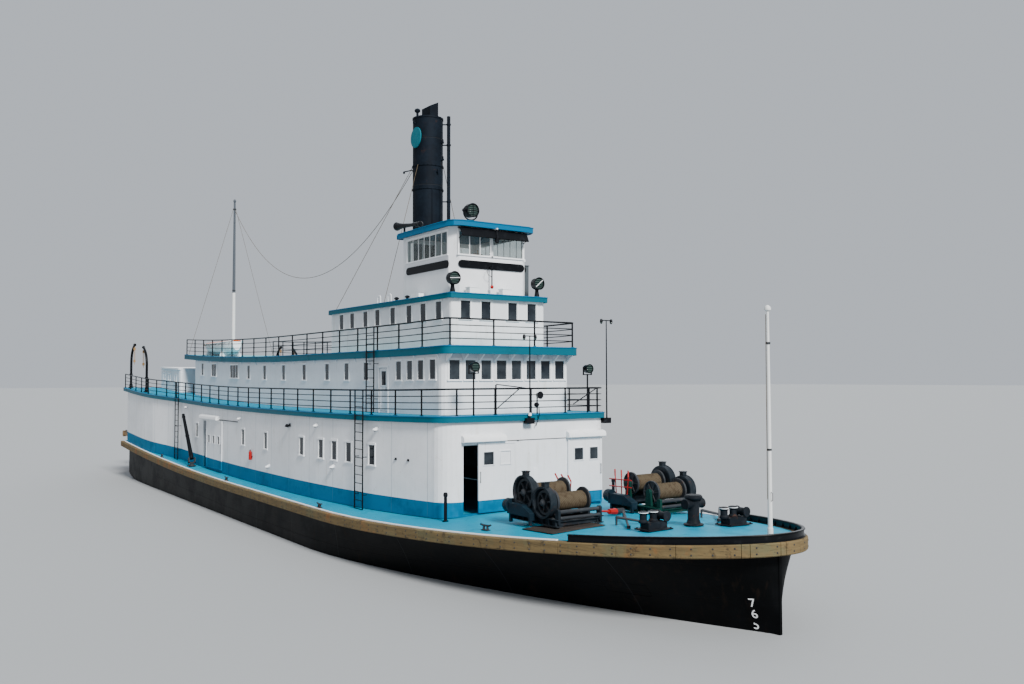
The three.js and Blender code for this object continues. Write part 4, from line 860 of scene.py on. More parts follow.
def hull():
    shape = Shape()
    rings = []
    shares = [0, 0.03, 0.1, 0.18, 0.25, 0.35, 0.45, 0.54, 0.63, 0.72, 0.8, 0.87, 0.94, 1]
    for x in [0, -0.12, -0.35, -0.6] + spread(-0.9, -20, 0.65) + spread(-21, TRANSOM, 1.2):
        bottom, top = hull_ends(x)
        side = []
        for up in shares:
            around = [hull_half_at(x, clamp(up + d)) for d in (-0.06, 0, 0.06)]
            half = around[1] if up in (0, 1) else (around[0] + 2 * around[1] + around[2]) / 4
            side.append((x, half, bottom + (top - bottom) * up))
        rings.append(side + [(x, -y, z) for _, y, z in reversed(side)])
    shape.skin(rings)
    foot, head = hull_ends(0)
    shape.skin([[(0.03, -0.05, z), (0.03, 0.05, z), (-0.12, 0.09, z), (-0.12, -0.09, z)]
        for z in (foot, foot + 0.3, head)])
    return shape


WELD = 0.014
STRAKES = [
    # both ends as place along the boat and height, on the skin of the hull
    ((-17.62, 0.48), (-5.35, 0.92)), ((-1.81, 1.2), (-0.09, 1.63)), ((-30.0, 0.45), (-17.62, 0.48)),
    ((-4.88, 1.11), (-3.42, 1.09)), ((-3.42, 1.09), (-3.44, 0.7)), ((-3.44, 0.7), (-4.86, 0.72)),
    ((-4.86, 0.72), (-4.88, 1.11)), ((-5.11, 0.42), (-4.38, 0.56)), ((-4.38, 0.56), (-4.09, 0.4)),
    ((-50.0, 0.85), (-30.0, 0.45)),
]
DRAFT_MARKS = [("7", -0.57, 0.78), ("6", -0.6, 0.43), ("5", -0.64, 0.08)]


def mirrored(points, side):
    """A starboard path, or the same on the port side."""
    return [(x, y * -side, z) for x, y, z in points]


def hull_welds():
    shape = Shape()
    for (x0, z0), (x1, z1) in STRAKES:
        steps = max(2, round(abs(x1 - x0) / 0.8))
        line = [(x0 + (x1 - x0) * i / steps, z0 + (z1 - z0) * i / steps) for i in range(steps + 1)]
        for side in (-1, 1):
            shape.pipe(mirrored([hull_point(x, z) for x, z in line], side), WELD, 6)
    return shape


def numeral(text, frame_here, height):
    """A flat painted numeral, its foot at the frame's origin, in the frame's first and third axes."""
    curve = bpy.data.curves.new("numeral", "FONT")
    curve.body = text
    curve.align_x = "CENTER"
    curve.size = height * 1.35
    curve.extrude = 0.004
    writing = bpy.data.objects.new("numeral", curve)
    bpy.context.scene.collection.objects.link(writing)
    data = bpy.data.meshes.new_from_object(writing.evaluated_get(bpy.context.evaluated_depsgraph_get()))
    bpy.data.objects.remove(writing)
    stand = Matrix.Rotation(math.radians(90), 4, "X")
    data.transform(TO_MODEL @ frame_here @ stand)
    return data


def skin_frame(x, z, side):
    """Frame on the skin of the hull that reads upright from outside."""
    here = Vector(mirrored([hull_point(x, z, 0.004)], side)[0])
    fore = Vector(mirrored([hull_point(x + 0.1, z, 0.004)], side)[0]) - here
    up = (Vector(mirrored([hull_point(x, z + 0.2, 0.004)], side)[0]) - here).normalized()
    along = (fore * -side).normalized()
    inward = up.cross(along).normalized()
    turn = Matrix((along, inward, up)).transposed().to_4x4()
    return Matrix.Translation(here) @ turn


def draft_marks():
    for side, name in SIDES:
        for text, x, z in DRAFT_MARKS:
            data = numeral(text, skin_frame(x, z, side), 0.3)
            settle(f"draft_mark_{text}_{name}", data, [TRIM])


# Guard and decks

GUARD = {"depth": 0.4, "thick": 0.3, "inset": 0.01, "chamfer": 0.035, "joint": 0.012}
BAULKS_FORE = [0.31, 0.2, 0.93, 0.25, 1.9, 1.9, 2.1, 2.4]
BAULK_AFT = 4.2


def guard_table():
    """Plan of the guard's outer face on the port side with the length from the tip."""
    points = [(BOW_OVERHANG - ENTRY * (i / 90) ** 2, 0.0) for i in range(91)]
    points = [(x, guard_half(x)) for x, _ in points] + [(DECK_END, HALF_BEAM)]
    table = [(0.0, *points[0])]
    for a, b in zip(points, points[1:]):
        table.append((table[-1][0] + math.dist(a, b), *b))
    return table


GUARD_TABLE = guard_table()


def guard_at(length, inset=0.0):
    """Point of the guard's face at a length from the tip, negative to starboard, moved in."""
    side = -1 if length < 0 else 1
    far = min(abs(length), GUARD_TABLE[-1][0])
    for (s0, x0, y0), (s1, x1, y1) in zip(GUARD_TABLE, GUARD_TABLE[1:]):
        if far <= s1 + 1e-9:
            k = (far - s0) / (s1 - s0)
            nx, ny = (y1 - y0) / (s1 - s0), -(x1 - x0) / (s1 - s0)
            if s0 == 0.0 and far < 0.02:
                nx, ny = 1.0, 0.0
            x, y = x0 + (x1 - x0) * k - nx * inset, y0 + (y1 - y0) * k - ny * inset
            return x, side * y, edge_z(x0 + (x1 - x0) * k)
    raise ValueError(length)


def guard_path(start, end, inset=0.0, lift=0.0):
    """Points along the guard between two lengths from the tip, from port to starboard."""
    marks = [start]
    while marks[-1] > end + 1e-6:
        far = abs(marks[-1])
        step = 0.22 if far < 4 else 0.6 if far < 14 else 1.6
        marks.append(max(end, marks[-1] - step))
    if len(marks) > 2 and abs(marks[-1] - marks[-2]) < 0.03:
        del marks[-2]
    return [(x, y, z + lift) for x, y, z in (guard_at(s, inset) for s in marks)]


def guard_stops():
    """Lengths from the tip of the joints between the baulks."""
    stops = [0.0]
    for length in BAULKS_FORE:
        stops.append(stops[-1] + length)
    total = GUARD_TABLE[-1][0]
    return stops[1:] + spread(stops[-1], total, BAULK_AFT)[1:]


def guard():
    shape = Shape()
    g, c = GUARD, GUARD["chamfer"]
    face, back = -g["inset"], -g["thick"]
    section = [(back, -g["depth"]), (face - c, -g["depth"]), (face, -g["depth"] + c), (face, -c),
        (face - c, 0.0), (back, 0.0)]
    stops = guard_stops()
    ends = [(stops[0], -stops[0])]
    ends += [pair for a, b in zip(stops, stops[1:]) for pair in ((b, a), (-a, -b))]
    for start, end in ends:
        gap = g["joint"] / 2
        shape.sweep(guard_path(start - gap, end + gap), section)
    shape.sweep(guard_path(stops[-1], -stops[-1], inset=0.1, lift=-0.2),
        [(-0.15, -0.15), (0, -0.15), (0, 0.15), (-0.15, 0.15)])
    return shape.become("guard_baulks", TIMBER, replaces="guard", bevel=0.008)


def studs_tree():
    """Round heads at even steps along a line, standing out of its left side."""
    tree = Tree("heads_along_line", Step=0.5, Radius=0.02, Proud=0.02)
    stops = tree.stops(tree.line())
    out = tree.add("ShaderNodeVectorMath", {0: (0.0, 0.0, 1.0), 1: stops["Tangent"]},
        operation="CROSS_PRODUCT")
    turn = tree.add("FunctionNodeAlignRotationToVector", {"Vector": out[0]}, axis="Z")[0]
    head = tree.add("MeshCone", {"Vertices": 10, "Radius Top": tree.math("MULTIPLY", "Radius", 0.6),
        "Radius Bottom": "Radius", "Depth": "Proud"})["Mesh"]
    return tree.end(tree.copies(stops["Points"], head, turn))


def guard_bolts():
    end = GUARD_TABLE[-1][0] - 0.3
    lines = [guard_path(end, -end, inset=GUARD["inset"], lift=lift) for lift in (-0.11, -0.29)]
    settle("guard_bolts", studs_tree().run(line_mesh(lines), IRON, Step=0.62, Radius=0.028, Proud=0.014))


def bow_rail():
    """Low black plate rail round the bow with its knees and a rounded cap."""
    shape = Shape()
    ends = [s for s, x, _ in GUARD_TABLE if x > -5.2]
    reach = ends[-1]
    path = guard_path(reach, -reach)
    shape.sweep(path, [(-0.16, 0.0), (-0.125, 0.0), (-0.125, 0.2), (-0.16, 0.2)])
    shape.sweep(path, [(-0.185, 0.195), (-0.1, 0.195), (-0.085, 0.21), (-0.1, 0.236), (-0.185, 0.236),
        (-0.2, 0.21)])
    shape.sweep(path, [(-0.2, 0.0), (-0.08, 0.0), (-0.08, 0.025), (-0.2, 0.025)])
    for s in spread(-reach + 0.2, reach - 0.2, 0.62):
        (x, y, z), (ix, iy, _) = guard_at(s, 0.16), guard_at(s, 0.22)
        shape.skin([[(x, y, z + 0.02), (ix, iy, z + 0.02), (x, y, z + 0.19)],
            [(x + 0.025, y, z + 0.02), (ix + 0.025, iy, z + 0.02), (x + 0.025, y, z + 0.19)]])
    return shape.become("bow_rail_plate", BLACK, replaces="bow_rail")


def margin_batten():
    """White strip on the deck edge from the bow rail aft."""
    shape = Shape()
    start = next(s for s, x, _ in GUARD_TABLE if x < -5.3)
    end = GUARD_TABLE[-1][0] - 0.05
    for a, b in ((end, start), (-start, -end)):
        shape.sweep(guard_path(a, b, lift=0.002), [(-0.3, 0), (-0.2, 0), (-0.2, 0.035), (-0.3, 0.035)])
    shape.become("deck_edge_batten", TRIM)


# Trim that every house shares

def deck_line(plan, z, out, steps=7):
    line = edge_line(plan["front"], plan["back"], plan["half"], plan["corner"], steps, out)
    return [(x, y, z(x)) for x, y in line]


SECOND_EDGE = {"front": -12.54, "back": -58.2, "half": house_half, "corner": 0.85}
THIRD_EDGE = {"front": -13.7, "back": -51.4, "half": lambda x: 3.3, "corner": 0.3}
TEXAS_EDGE = {"front": -14.81, "back": -27.1, "half": lambda x: 2.43, "corner": 0.12}
PILOT_EDGE = {"front": -15.31, "back": -20.05, "half": lambda x: 2.0, "corner": 0.3}
PILOT_EAVE = 0.2


def fascia(name, plan, z, out, board, board_paint, steps=7):
    """Board round a deck edge with a bright nosing on top; board is its height."""
    line = deck_line(plan, z, out - 0.004, steps)
    back_x, half = plan["back"] - 0.12, plan["half"](plan["back"]) + out
    lower, upper = shapes(2)
    lower.sweep(line, [(0, -board), (0.028, -board), (0.028, -0.035), (0, -0.035)])
    upper.sweep(line, [(-0.02, -0.04), (0.045, -0.04), (0.052, -0.02), (0.045, 0.0), (-0.02, 0.012)])
    back_z = z(plan["back"])
    lower.block((back_x - 0.028, back_x), (-half, half), (back_z - board, back_z - 0.03))
    lower.become(name + "_board", board_paint, bevel=0.004)
    upper.become(name + "_nosing", BLUE)


def rail_tree():
    """Posts at even steps along a deck edge with round bars between them."""
    tree = Tree("railing", Height=1.0, Step=2.0, Post=0.03, Bars=4, Bar=0.015, Rail=0.03)
    line = tree.line()
    pitch = tree.axes(Z=tree.math("DIVIDE", "Height", "Bars"))
    levels = tree.add("MeshLine", {"Count": tree.math("SUBTRACT", "Bars", 1.0), "Start Location": pitch,
        "Offset": pitch}, mode="OFFSET")[0]
    bars = tree.add("RealizeInstances", {"Geometry": tree.copies(levels, line)})[0]
    top = tree.move(line, tree.axes(Z="Height"))
    stops = tree.stops(line)["Points"]
    post = tree.move(tree.rod(8, "Post", "Height"), tree.axes(Z=tree.math("MULTIPLY", "Height", 0.5)))
    foot = tree.rod(10, tree.math("MULTIPLY", "Post", 2.2), "Post")
    return tree.end(tree.tube(bars, "Bar", 6), tree.tube(top, "Rail", 8), tree.copies(stops, post),
        tree.copies(stops, foot))


RAIL_LIFT = 0.012


def railings(tree):
    for name, plan, z, height, out, step in (
        ("second", SECOND_EDGE, second_z, 1.05, 0.0, 1.77), ("third", THIRD_EDGE, third_z, 1.1, -0.02, 2.09),
    ):
        line = deck_line(plan, lambda x: z(x) + RAIL_LIFT, out)
        data = tree.run(line_mesh([line]), BLACK, Height=height - RAIL_LIFT, Step=step, Post=0.038, Bars=4,
            Bar=0.022, Rail=0.036)
        settle(name + "_railing", data, replaces=name + "_rail")


# Windows and doors

CASING = 0.07


def window(trim, glass, here, width, height, panes=1, ring=0.018):
    """Casing, sill, sash and panes of an opening; the middle of its foot is the frame's origin."""
    half, w = width / 2, CASING
    trim.move(here)
    for k in (-1, 1):
        trim.block((k * (half - 0.004), k * (half + w)), (-0.02, 0.022), (-0.004, height + 0.004))
    trim.block((-half - w - 0.015, half + w + 0.015), (-0.02, 0.034), (height - 0.004, height + w + 0.01))
    trim.block((-half - w - 0.03, half + w + 0.03), (-0.03, 0.055), (-0.05, 0.004))
    glass.move(here)
    for i in range(panes):
        a, b = -half + width * i / panes, -half + width * (i + 1) / panes
        for x0, x1, z0, z1 in ((a, a + ring, 0, height), (b - ring, b, 0, height), (a, b, 0, ring),
                (a, b, height - ring, height)):
            trim.block((x0, x1), (-0.03, -0.003), (z0, z1))
        glass.block((a + ring / 2, b - ring / 2), (-0.018, -0.008), (ring / 2, height - ring / 2))


def main_wall(x, z, side):
    """Frame on the main house's side wall."""
    slope = (house_half(x + 0.1) - house_half(x - 0.1)) / 0.2
    normal = Vector((-slope, side)).normalized()
    return wall_frame(x, side * house_half(x), z, normal)


MAIN_WINDOWS = [-17.5, -19.4, -20.7, -22.0, -24.1, -28.9, -32.5, -41.4]
SECOND_WINDOWS = [
    (-14.93, 1), (-15.94, 1), (-16.91, 1), (-17.92, 1), (-21.18, 1), (-23.34, 1), (-25.7, 1),
    (-28.74, 1), (-31.77, 1), (-34.84, 1), (-37.68, 1), (-40.4, 3), (-44.7, 2), (-47.4, 1),
]
TEXAS_WINDOWS = [-15.89, -17.24, -18.54, -20.13, -21.71, -23.02, -24.55, -25.83]


def house_windows():
    trim, glass = shapes(2)
    for side in (-1, 1):
        for x in MAIN_WINDOWS:
            window(trim, glass, main_wall(x, 3.92, side), 0.46, 0.86)
        for x, panes in SECOND_WINDOWS:
            out = 3.27 if panes == 1 else 3.3
            here = wall_frame(x, side * out, 7.5 + sheer(x), (0, side))
            window(trim, glass, here, 0.5 + 0.55 * (panes - 1), 0.84, panes)
        for x in TEXAS_WINDOWS:
            window(trim, glass, wall_frame(x, side * 2.43, 10.1, (0, side)), 0.5, 0.78)
    for i in range(8):
        window(trim, glass, wall_frame(SECOND_HOUSE["front"], (i - 3.5) * 0.77, 7.52, (1, 0)), 0.52, 0.83)
    for y in (-1.72, -0.69, 0.69, 1.72):
        window(trim, glass, wall_frame(TEXAS["front"], y, 10.1, (1, 0)), 0.5, 0.78)
    trim.become("window_casings", TRIM)
    glass.become("window_panes", PANE)


PILOT_PANE = (12.92, 13.93)
PILOT_ROOF_THICK = 0.22


def pilothouse_walls():
    """Walls with the band of windows left open, and the thin cambered roof over them."""
    shell, roof = shapes(2)
    half, front, back, cut = PILOT["half"], PILOT["front"], PILOT["back"], PILOT["corner"]
    low, high = PILOT_PANE
    outer = [(front, half - cut), (front - cut, half), (back, half)]
    inner = [(front - 0.1, half - cut - 0.04), (front - cut - 0.04, half - 0.1), (back + 0.1, half - 0.1)]
    outer, inner = [line + [(x, -y) for x, y in reversed(line)] for line in (outer, inner)]
    heights = ((lambda x: fourth_z(x) + 0.005, lambda x: low), (lambda x: high,
        lambda x: pilot_roof_z(x) - PILOT_ROOF_THICK - 0.002))
    for foot, head in heights:
        rings = [[(x, y, level(x)) for x, y in line] for line, level in ((outer, foot), (outer, head),
            (inner, head), (inner, foot))]
        shell.skin(rings, closed=True)
    shell.block((front - 0.1, front), (-0.06, 0.06), (low, high))
    shell.block((back, back + 0.1), (-0.3, 0.3), (low, high))
    for k in (-1, 1):
        corner = [(front, half - cut), (front - cut, half), (front - cut - 0.1, half),
            (front - cut - 0.1, half - 0.1), (front - cut - 0.04, half - 0.1), (front - 0.14, half - cut)]
        shell.skin([[(x, k * y, z) for x, y in corner] for z in (low, high)])
        shell.block((back, back + 0.4), (k * (half - 0.1), k * half), (low, high))
        shell.block((back, back + 0.1), (k * (half - cut), k * (half - 0.1)), (low, high))
    line = deck_line(PILOT_EDGE, pilot_roof_z, PILOT_EAVE, 2)
    roof.skin([[(x, y, z - drop) for x, y, z in line] for drop in (PILOT_ROOF_THICK, 0.0)])
    shell.become("pilothouse_shell", HOUSE, replaces="pilothouse")
    roof.become("pilothouse_roof_boards", ROOF_TOP, replaces="pilothouse_roof")


def pilothouse_windows():
    trim, glass = shapes(2)
    half, front, back = PILOT["half"], PILOT["front"], PILOT["back"]
    low, tall = PILOT_PANE[0], PILOT_PANE[1] - PILOT_PANE[0]
    for side in (-1, 1):
        window(trim, glass, wall_frame(front, side * 0.865, low, (1, 0)), 1.61, tall, 3 if side < 0 else 1)
        window(trim, glass, wall_frame(back, side * 0.985, low, (-1, 0)), 1.37, tall, 2)
        window(trim, glass, wall_frame(-17.695, side * half, low, (0, side)), 3.61, tall, 7)
    trim.become("pilothouse_casings", TRIM)
    glass.become("pilothouse_panes", CLEAR)


def panel(shape, x, y, z, holes=(), mark=0):
    """Upright panel in a wall's frame, in strips round its holes, each (x0, x1, z0, z1)."""
    cuts = sorted({*x, *(v for hole in holes for v in hole[:2])})
    for a, b in zip(cuts, cuts[1:]):
        low = z[0]
        for x0, x1, z0, z1 in sorted(holes, key=lambda hole: hole[2]):
            if x0 <= a and b <= x1:
                shape.block((a, b), y, (low, z0), mark)
                low = z1
        shape.block((a, b), y, (low, z[1]), mark)


def door(name, here, width, height, thick, holes, handle, curtained=None):
    """Boarded door with rims, panes and a handle; it takes its CAD panel's place."""
    leaf, glass, iron = shapes(3)
    half = width / 2
    leaf.move(here)
    skin = thick - 0.022
    panel(leaf, (-half, half), (0.0, skin), (0.0, height), holes)
    for a, b in ((-half, -half + 0.1), (half - 0.1, half)):
        leaf.block((a, b), (skin, thick), (0.0, height))
    for z in (0.0, height - 0.08):
        leaf.block((-half + 0.1, half - 0.1), (skin, thick), (z, z + 0.08))
    glass.move(here)
    for i, (x0, x1, z0, z1) in enumerate(holes):
        for a, b, c, d in ((x0 - 0.04, x0, z0 - 0.04, z1 + 0.04), (x1, x1 + 0.04, z0 - 0.04, z1 + 0.04),
                (x0, x1, z0 - 0.04, z0), (x0, x1, z1, z1 + 0.04)):
            leaf.block((a, b), (skin - 0.01, thick + 0.004), (c, d))
        pane = leaf if i == curtained else glass
        pane.block((x0 - 0.01, x1 + 0.01), (skin * 0.5, skin * 0.75), (z0 - 0.01, z1 + 0.01))
    iron.move(here)
    hx, hz, length = handle
    iron.block(about(hx, 0.02), (skin, thick + 0.035), (hz, hz + 0.03))
    iron.block(about(hx, 0.02), (skin, thick + 0.035), (hz + length - 0.03, hz + length))
    iron.bar((hx, thick + 0.03, hz - 0.02), (hx, thick + 0.03, hz + length + 0.02), 0.014, sides=8)
    leaf.become(name + "_leaf", BANDED, body=name, replaces=name, bevel=0.003)
    glass.become(name + "_panes", PANE, body=name)
    iron.become(name + "_handle", STEEL, body=name)


def doors():
    sill = deck_z(FRONT_WALL, 3.3) + 0.08
    for side, middle, ys, z in (("s", -1.69, ((-2.36, -1.89), (-1.54, -1.08)), (4.17, 4.67)),
            ("p", 2.78, ((2.2, 2.66), (3.03, 3.47)), (4.13, 4.63))):
        foot = sill + 0.02
        holes = [(middle - b, middle - a, z[0] - foot, z[1] - foot) for a, b in ys]
        door("front_door_" + side, wall_frame(FRONT_WALL + 0.02, middle, foot, (1, 0)), 1.84, 2.75, 0.07,
            holes, (-0.84 if side == "p" else 0.84, 1.2, 0.4), 1 if side == "s" else None)
    foot = deck_z(SIDE_DOOR, 5.3) + 0.1
    for k, side in SIDES:
        here = wall_frame(-37.65, k * (house_half(SIDE_DOOR) + 0.02), foot, (0, k))
        holes = [(x - 0.2, x + 0.2, 1.5, 1.95) for x in (-0.95, 0.0, 0.95)]
        door("side_door_" + side, here, 3.1, 2.88, 0.07, holes, (k * 1.45, 1.0, 0.5))
        here = wall_frame(CABIN_DOOR, k * 3.21, second_z(CABIN_DOOR) + 0.1, (0, k))
        holes = [(-0.24, 0.24, 1.15, 1.78)]
        door("cabin_door_" + side, here, 0.776, 1.91, 0.05, holes, (k * 0.3, 0.9, 0.14))


def door_frames():
    """Casings of the doorways, hoods over the sliding doors and the tracks they run on."""
    trim, dark = shapes(2)
    hood = [(0, 0.02), (0.205, 0.0), (0.25, 0.03), (0.25, 0.12), (0.225, 0.2), (0.15, 0.25), (0.05, 0.28),
        (0, 0.28)]
    z = deck_z(FRONT_WALL, 3.3) + 2.87
    for y0, y1 in ((-3.36, -1.35), (1.8, 3.81)):
        trim.move(wall_frame(FRONT_WALL, 0, z, (1, 0)))
        trim.skin([[(x, a, b) for a, b in hood] for x in (-y1, -y0)])
    dark.move(wall_frame(FRONT_WALL, 0, z - 0.03, (1, 0)))
    dark.block((0.62, 1.36), (0.0, 0.03), (0.0, 0.035))
    dark.block((-1.8, 1.36), (0.0, 0.02), (0.02, 0.045))
    for k in (-1, 1):
        z = deck_z(SIDE_DOOR, 5.3) + 3.0
        trim.move(wall_frame(0, k * house_half(SIDE_DOOR), z, (0, k)))
        along = sorted(k * x for x in (-40.22, -36.78))
        trim.skin([[(x, a, b) for a, b in hood] for x in along])
        dark.move(wall_frame(0, k * house_half(-38), z + 0.02, (0, k)))
        dark.block(sorted(k * x for x in (-36.8, -33.4)), (0.0, 0.04), (0.0, 0.04))
        for x in about(CABIN_DOOR, 0.45):
            trim.move(wall_frame(x, k * 3.27, second_z(CABIN_DOOR), (0, k)))
            trim.block((-0.05, 0.05), (-0.02, 0.025), (0.02, 2.1))
        trim.move(wall_frame(CABIN_DOOR, k * 3.27, second_z(CABIN_DOOR) + 2.05, (0, k)))
        trim.block((-0.52, 0.52), (-0.02, 0.04), (0, 0.09))
    for x, z in ((SECOND_HOUSE["back"], second_z), (TEXAS["back"], third_z)):
        trim.move(wall_frame(x, 0, z(x) + 0.08, (-1, 0)))
        for k in (-1, 1):
            trim.block((k * 0.4, k * 0.48), (-0.02, 0.025), (0, 2.0))
        trim.block((-0.52, 0.52), (-0.02, 0.04), (1.95, 2.04))
    trim.become("hoods_and_doorways", TRIM)
    dark.become("door_tracks", IRON)


# Small gear on the houses

def wall_gear():
    """Lamps, scuppers, vents, pipes and bottles on the main house's walls."""
    white, dark, red = shapes(3)
    for side in (-1, 1):
        for x, z in ((-17.07, 5.48), (-22.35, 5.44), (-20.72, 3.64), (-28.34, 3.08), (-32.91, 5.39),
                (-43.56, 5.77)):
            white.move(main_wall(x, z, side))
            white.turned(ORIGIN, TO_PORT, [(0, 0.09), (0.03, 0.09), (0.05, 0.06), (0.12, 0.05)], 16)
            white.turned((0, 0.13, 0.02), DOWN, [(0, 0.03), (0.02, 0.08), (0.08, 0.11), (0.1, 0.1)], 16)
            dark.move(main_wall(x, z, side))
            dark.turned((0, 0.13, -0.075), DOWN, [(0, 0.07), (0.03, 0.06), (0.05, 0.02)], 12)
        dark.move(main_wall(-25.5, 5.3, side))
        dark.block((-0.06, 0.06), (0, 0.05), (-0.08, 0.08))
        dark.bar((0, 0.04, 0), (0, 0.16, 0.02), 0.02, sides=8)
        dark.turned((0, 0.14, 0.05), (0, 0.3, -1), [(0, 0.05), (0.05, 0.09), (0.16, 0.1)], 14)
        for x in (-15.72, -14.87):
            dark.move(main_wall(x, 4.27, side))
            dark.block((-0.06, 0.06), (0, 0.02), (0, 0.07))
            dark.block((-0.07, 0.07), (0, 0.05), (-0.02, 0.0))
        red.move(main_wall(-31.01, 3.2, side))
        red.turned((0, 0.1, 0), UP, [(0, 0.07), (0.02, 0.085), (0.4, 0.085), (0.46, 0.04), (0.5, 0.03)], 16)
        dark.move(main_wall(-31.01, 3.2, side))
        dark.block((-0.1, 0.1), (0, 0.03), (0.15, 0.19))
        dark.turned((0, 0.1, 0.5), UP, [(0, 0.035), (0.03, 0.035), (0.05, 0.015)], 10)
        dark.pipe([(0.02, 0.1, 0.52), (0.12, 0.12, 0.5), (0.14, 0.13, 0.36), (0.12, 0.13, 0.2)], 0.012, 6)
        dark.move()
        y, foot = side * 4.2, deck_z(-12.7, 4.2)
        dark.bar((-12.3, y, foot), (-12.3, y, 3.1), 0.065, sides=14)
        dark.turned((-12.3, y, 3.08), UP, [(0, 0.06), (0.02, 0.09), (0.12, 0.09), (0.17, 0.05)], 16)
        dark.turned((-12.3, y, foot), UP, [(0, 0.12), (0.03, 0.12), (0.05, 0.07)], 14)
    white.become("wall_lamps", TRIM)
    dark.become("wall_fittings", LAMP)
    red.become("extinguishers", RED)


def front_gear():
    """Lamps and poles on the forward edge of the second deck, brackets and a blank notice board."""
    dark, glass, white, knees = shapes(4)
    for y, top in ((-2.84, 8.23), (2.91, 8.18)):
        dark.at(-12.45, y, top), glass.at(-12.45, y, top)
        dark.bar((0, 0, 6.0 - top), (0, 0, -0.42), 0.04, 0.035, 10)
        for k in (-1, 1):
            dark.block((-0.03, 0.03), (k * 0.2, k * 0.235), (-0.45, -0.12))
        dark.block((-0.03, 0.03), (-0.235, 0.235), (-0.47, -0.43))
        dark.turned((-0.2, 0, -0.2), AHEAD, [(0, 0.08), (0.06, 0.15), (0.14, 0.18), (0.34, 0.19),
            (0.345, 0.2), (0.38, 0.2), (0.38, 0.17), (0.33, 0.165)], 24)
        glass.turned((0.14, 0, -0.2), AHEAD, [(0, 0.165), (0.02, 0.16), (0.035, 0.1), (0.04, 0.02)], 20)
    for x, y, foot, top in ((-12.3, -0.23, 5.75, 9.3), (-12.61, 4.12, 5.64, 10.1)):
        dark.at(x, y, top), glass.at(x, y, top)
        dark.bar((0, 0, foot - top), ORIGIN, 0.035, 0.022, 10)
        dark.block((-0.16, 0.06), (-0.2, 0.2), (foot - top - 0.02, foot - top + 0.22))
        dark.bar((0, -0.3, 0), (0, 0.3, 0), 0.025, sides=8)
        for y in (-0.28, 0.28):
            dark.turned((0, y, 0.06), DOWN, [(0, 0.04), (0.04, 0.06), (0.14, 0.07)], 12)
            glass.turned((0, y, -0.08), DOWN, [(0, 0.06), (0.05, 0.05), (0.08, 0.02)], 12)
    dark.move()
    white.turned((-12.3, -0.23, 6.05), UP, [(0, 0.03), (0.01, 0.07), (0.12, 0.07), (0.13, 0.03)], 14)
    dark.bar((-12.42, 0.22, 5.95), (-12.42, 0.22, 6.85), 0.03, sides=8)
    dark.turned((-12.5, 0.27, 6.89), AHEAD, [(0, 0.05), (0.05, 0.1), (0.2, 0.14), (0.24, 0.16)], 16)
    dark.turned((-12.48, 0.16, 6.5), AHEAD, [(0, 0.05), (0.04, 0.09), (0.14, 0.1), (0.18, 0.08)], 16)
    dark.pipe([(-12.4, 0.3, 6.36), (-12.37, 0.3, 6.1), (-12.38, 0.22, 5.85), (-12.42, 0.15, 5.62)], 0.018, 6)
    dark.bar((-12.48, -1.77, 5.97), (-12.48, -1.77, 7.33), 0.035, sides=8)
    for a, b in (((-1.76, 7.34), (-0.29, 7.18)), ((-1.76, 6.36), (-0.54, 7.23)),
            ((2.15, 6.49), (3.42, 7.15))):
        dark.bar((-12.46, a[0], a[1]), (-12.46, b[0], b[1]), 0.022, sides=6)
    white.block((-12.55, -12.52), (0.11, 0.31), (3.41, 3.91))
    x, z = SECOND_HOUSE["front"], third_z(-13.9) - 0.3
    knee = [(x - 0.01, z), (x + 0.5, z), (x + 0.45, z - 0.06), (x + 0.08, z - 0.32), (x - 0.01, z - 0.36)]
    for i in range(9):
        knees.plate(knee, about((i - 4) * 0.77, 0.025))
    for side in (-1, 1):
        for x in (-14.4, -16.4, -18.7, -22.3, -24.5, -27.2, -30.2, -33.3, -36.3, -39.0, -42.5, -46.0):
            z = third_z(x) - 0.3
            knee = [(0, 0), (0.13, 0), (0.11, -0.06), (0.03, -0.2), (0, -0.22)]
            knees.skin([[(place, side * (3.26 + a), z + b) for a, b in knee] for place in about(x, 0.025)])
    dark.become("deck_lamps_and_poles", LAMP)
    glass.become("deck_lamp_lenses", LENS)
    white.become("notice_board", TRIM)
    knees.become("eave_knees", TRIM)


def stadium(shape, here, half, height, thick):
    """A flat board with round ends, its middle at the frame's origin."""
    shape.move(here)
    r = height / 2
    ends = [(half - r + a, b) for a, b in arc(r, -90, 90, 10)]
    ends += [(-half + r + a, b) for a, b in arc(r, 90, 270, 10)]
    shape.skin([[(x, y, z) for x, z in ends] for y in (0.0, thick)])


def visor(black):
    """The dark board that shades the front windows from under the roof's edge."""
    section = [(-15.44, 14.08), (-15.22, 14.06), (-15.04, 13.68), (-15.08, 13.65), (-15.27, 14.0),
        (-15.44, 14.02)]
    black.skin([[(x, y, z) for x, z in section] for y in (-1.75, 1.72)])
    for y in (-1.7, -0.6, 0.55, 1.67):
        black.bar((-15.42, y, 13.6), (-15.12, y, 13.72), 0.018, sides=6)


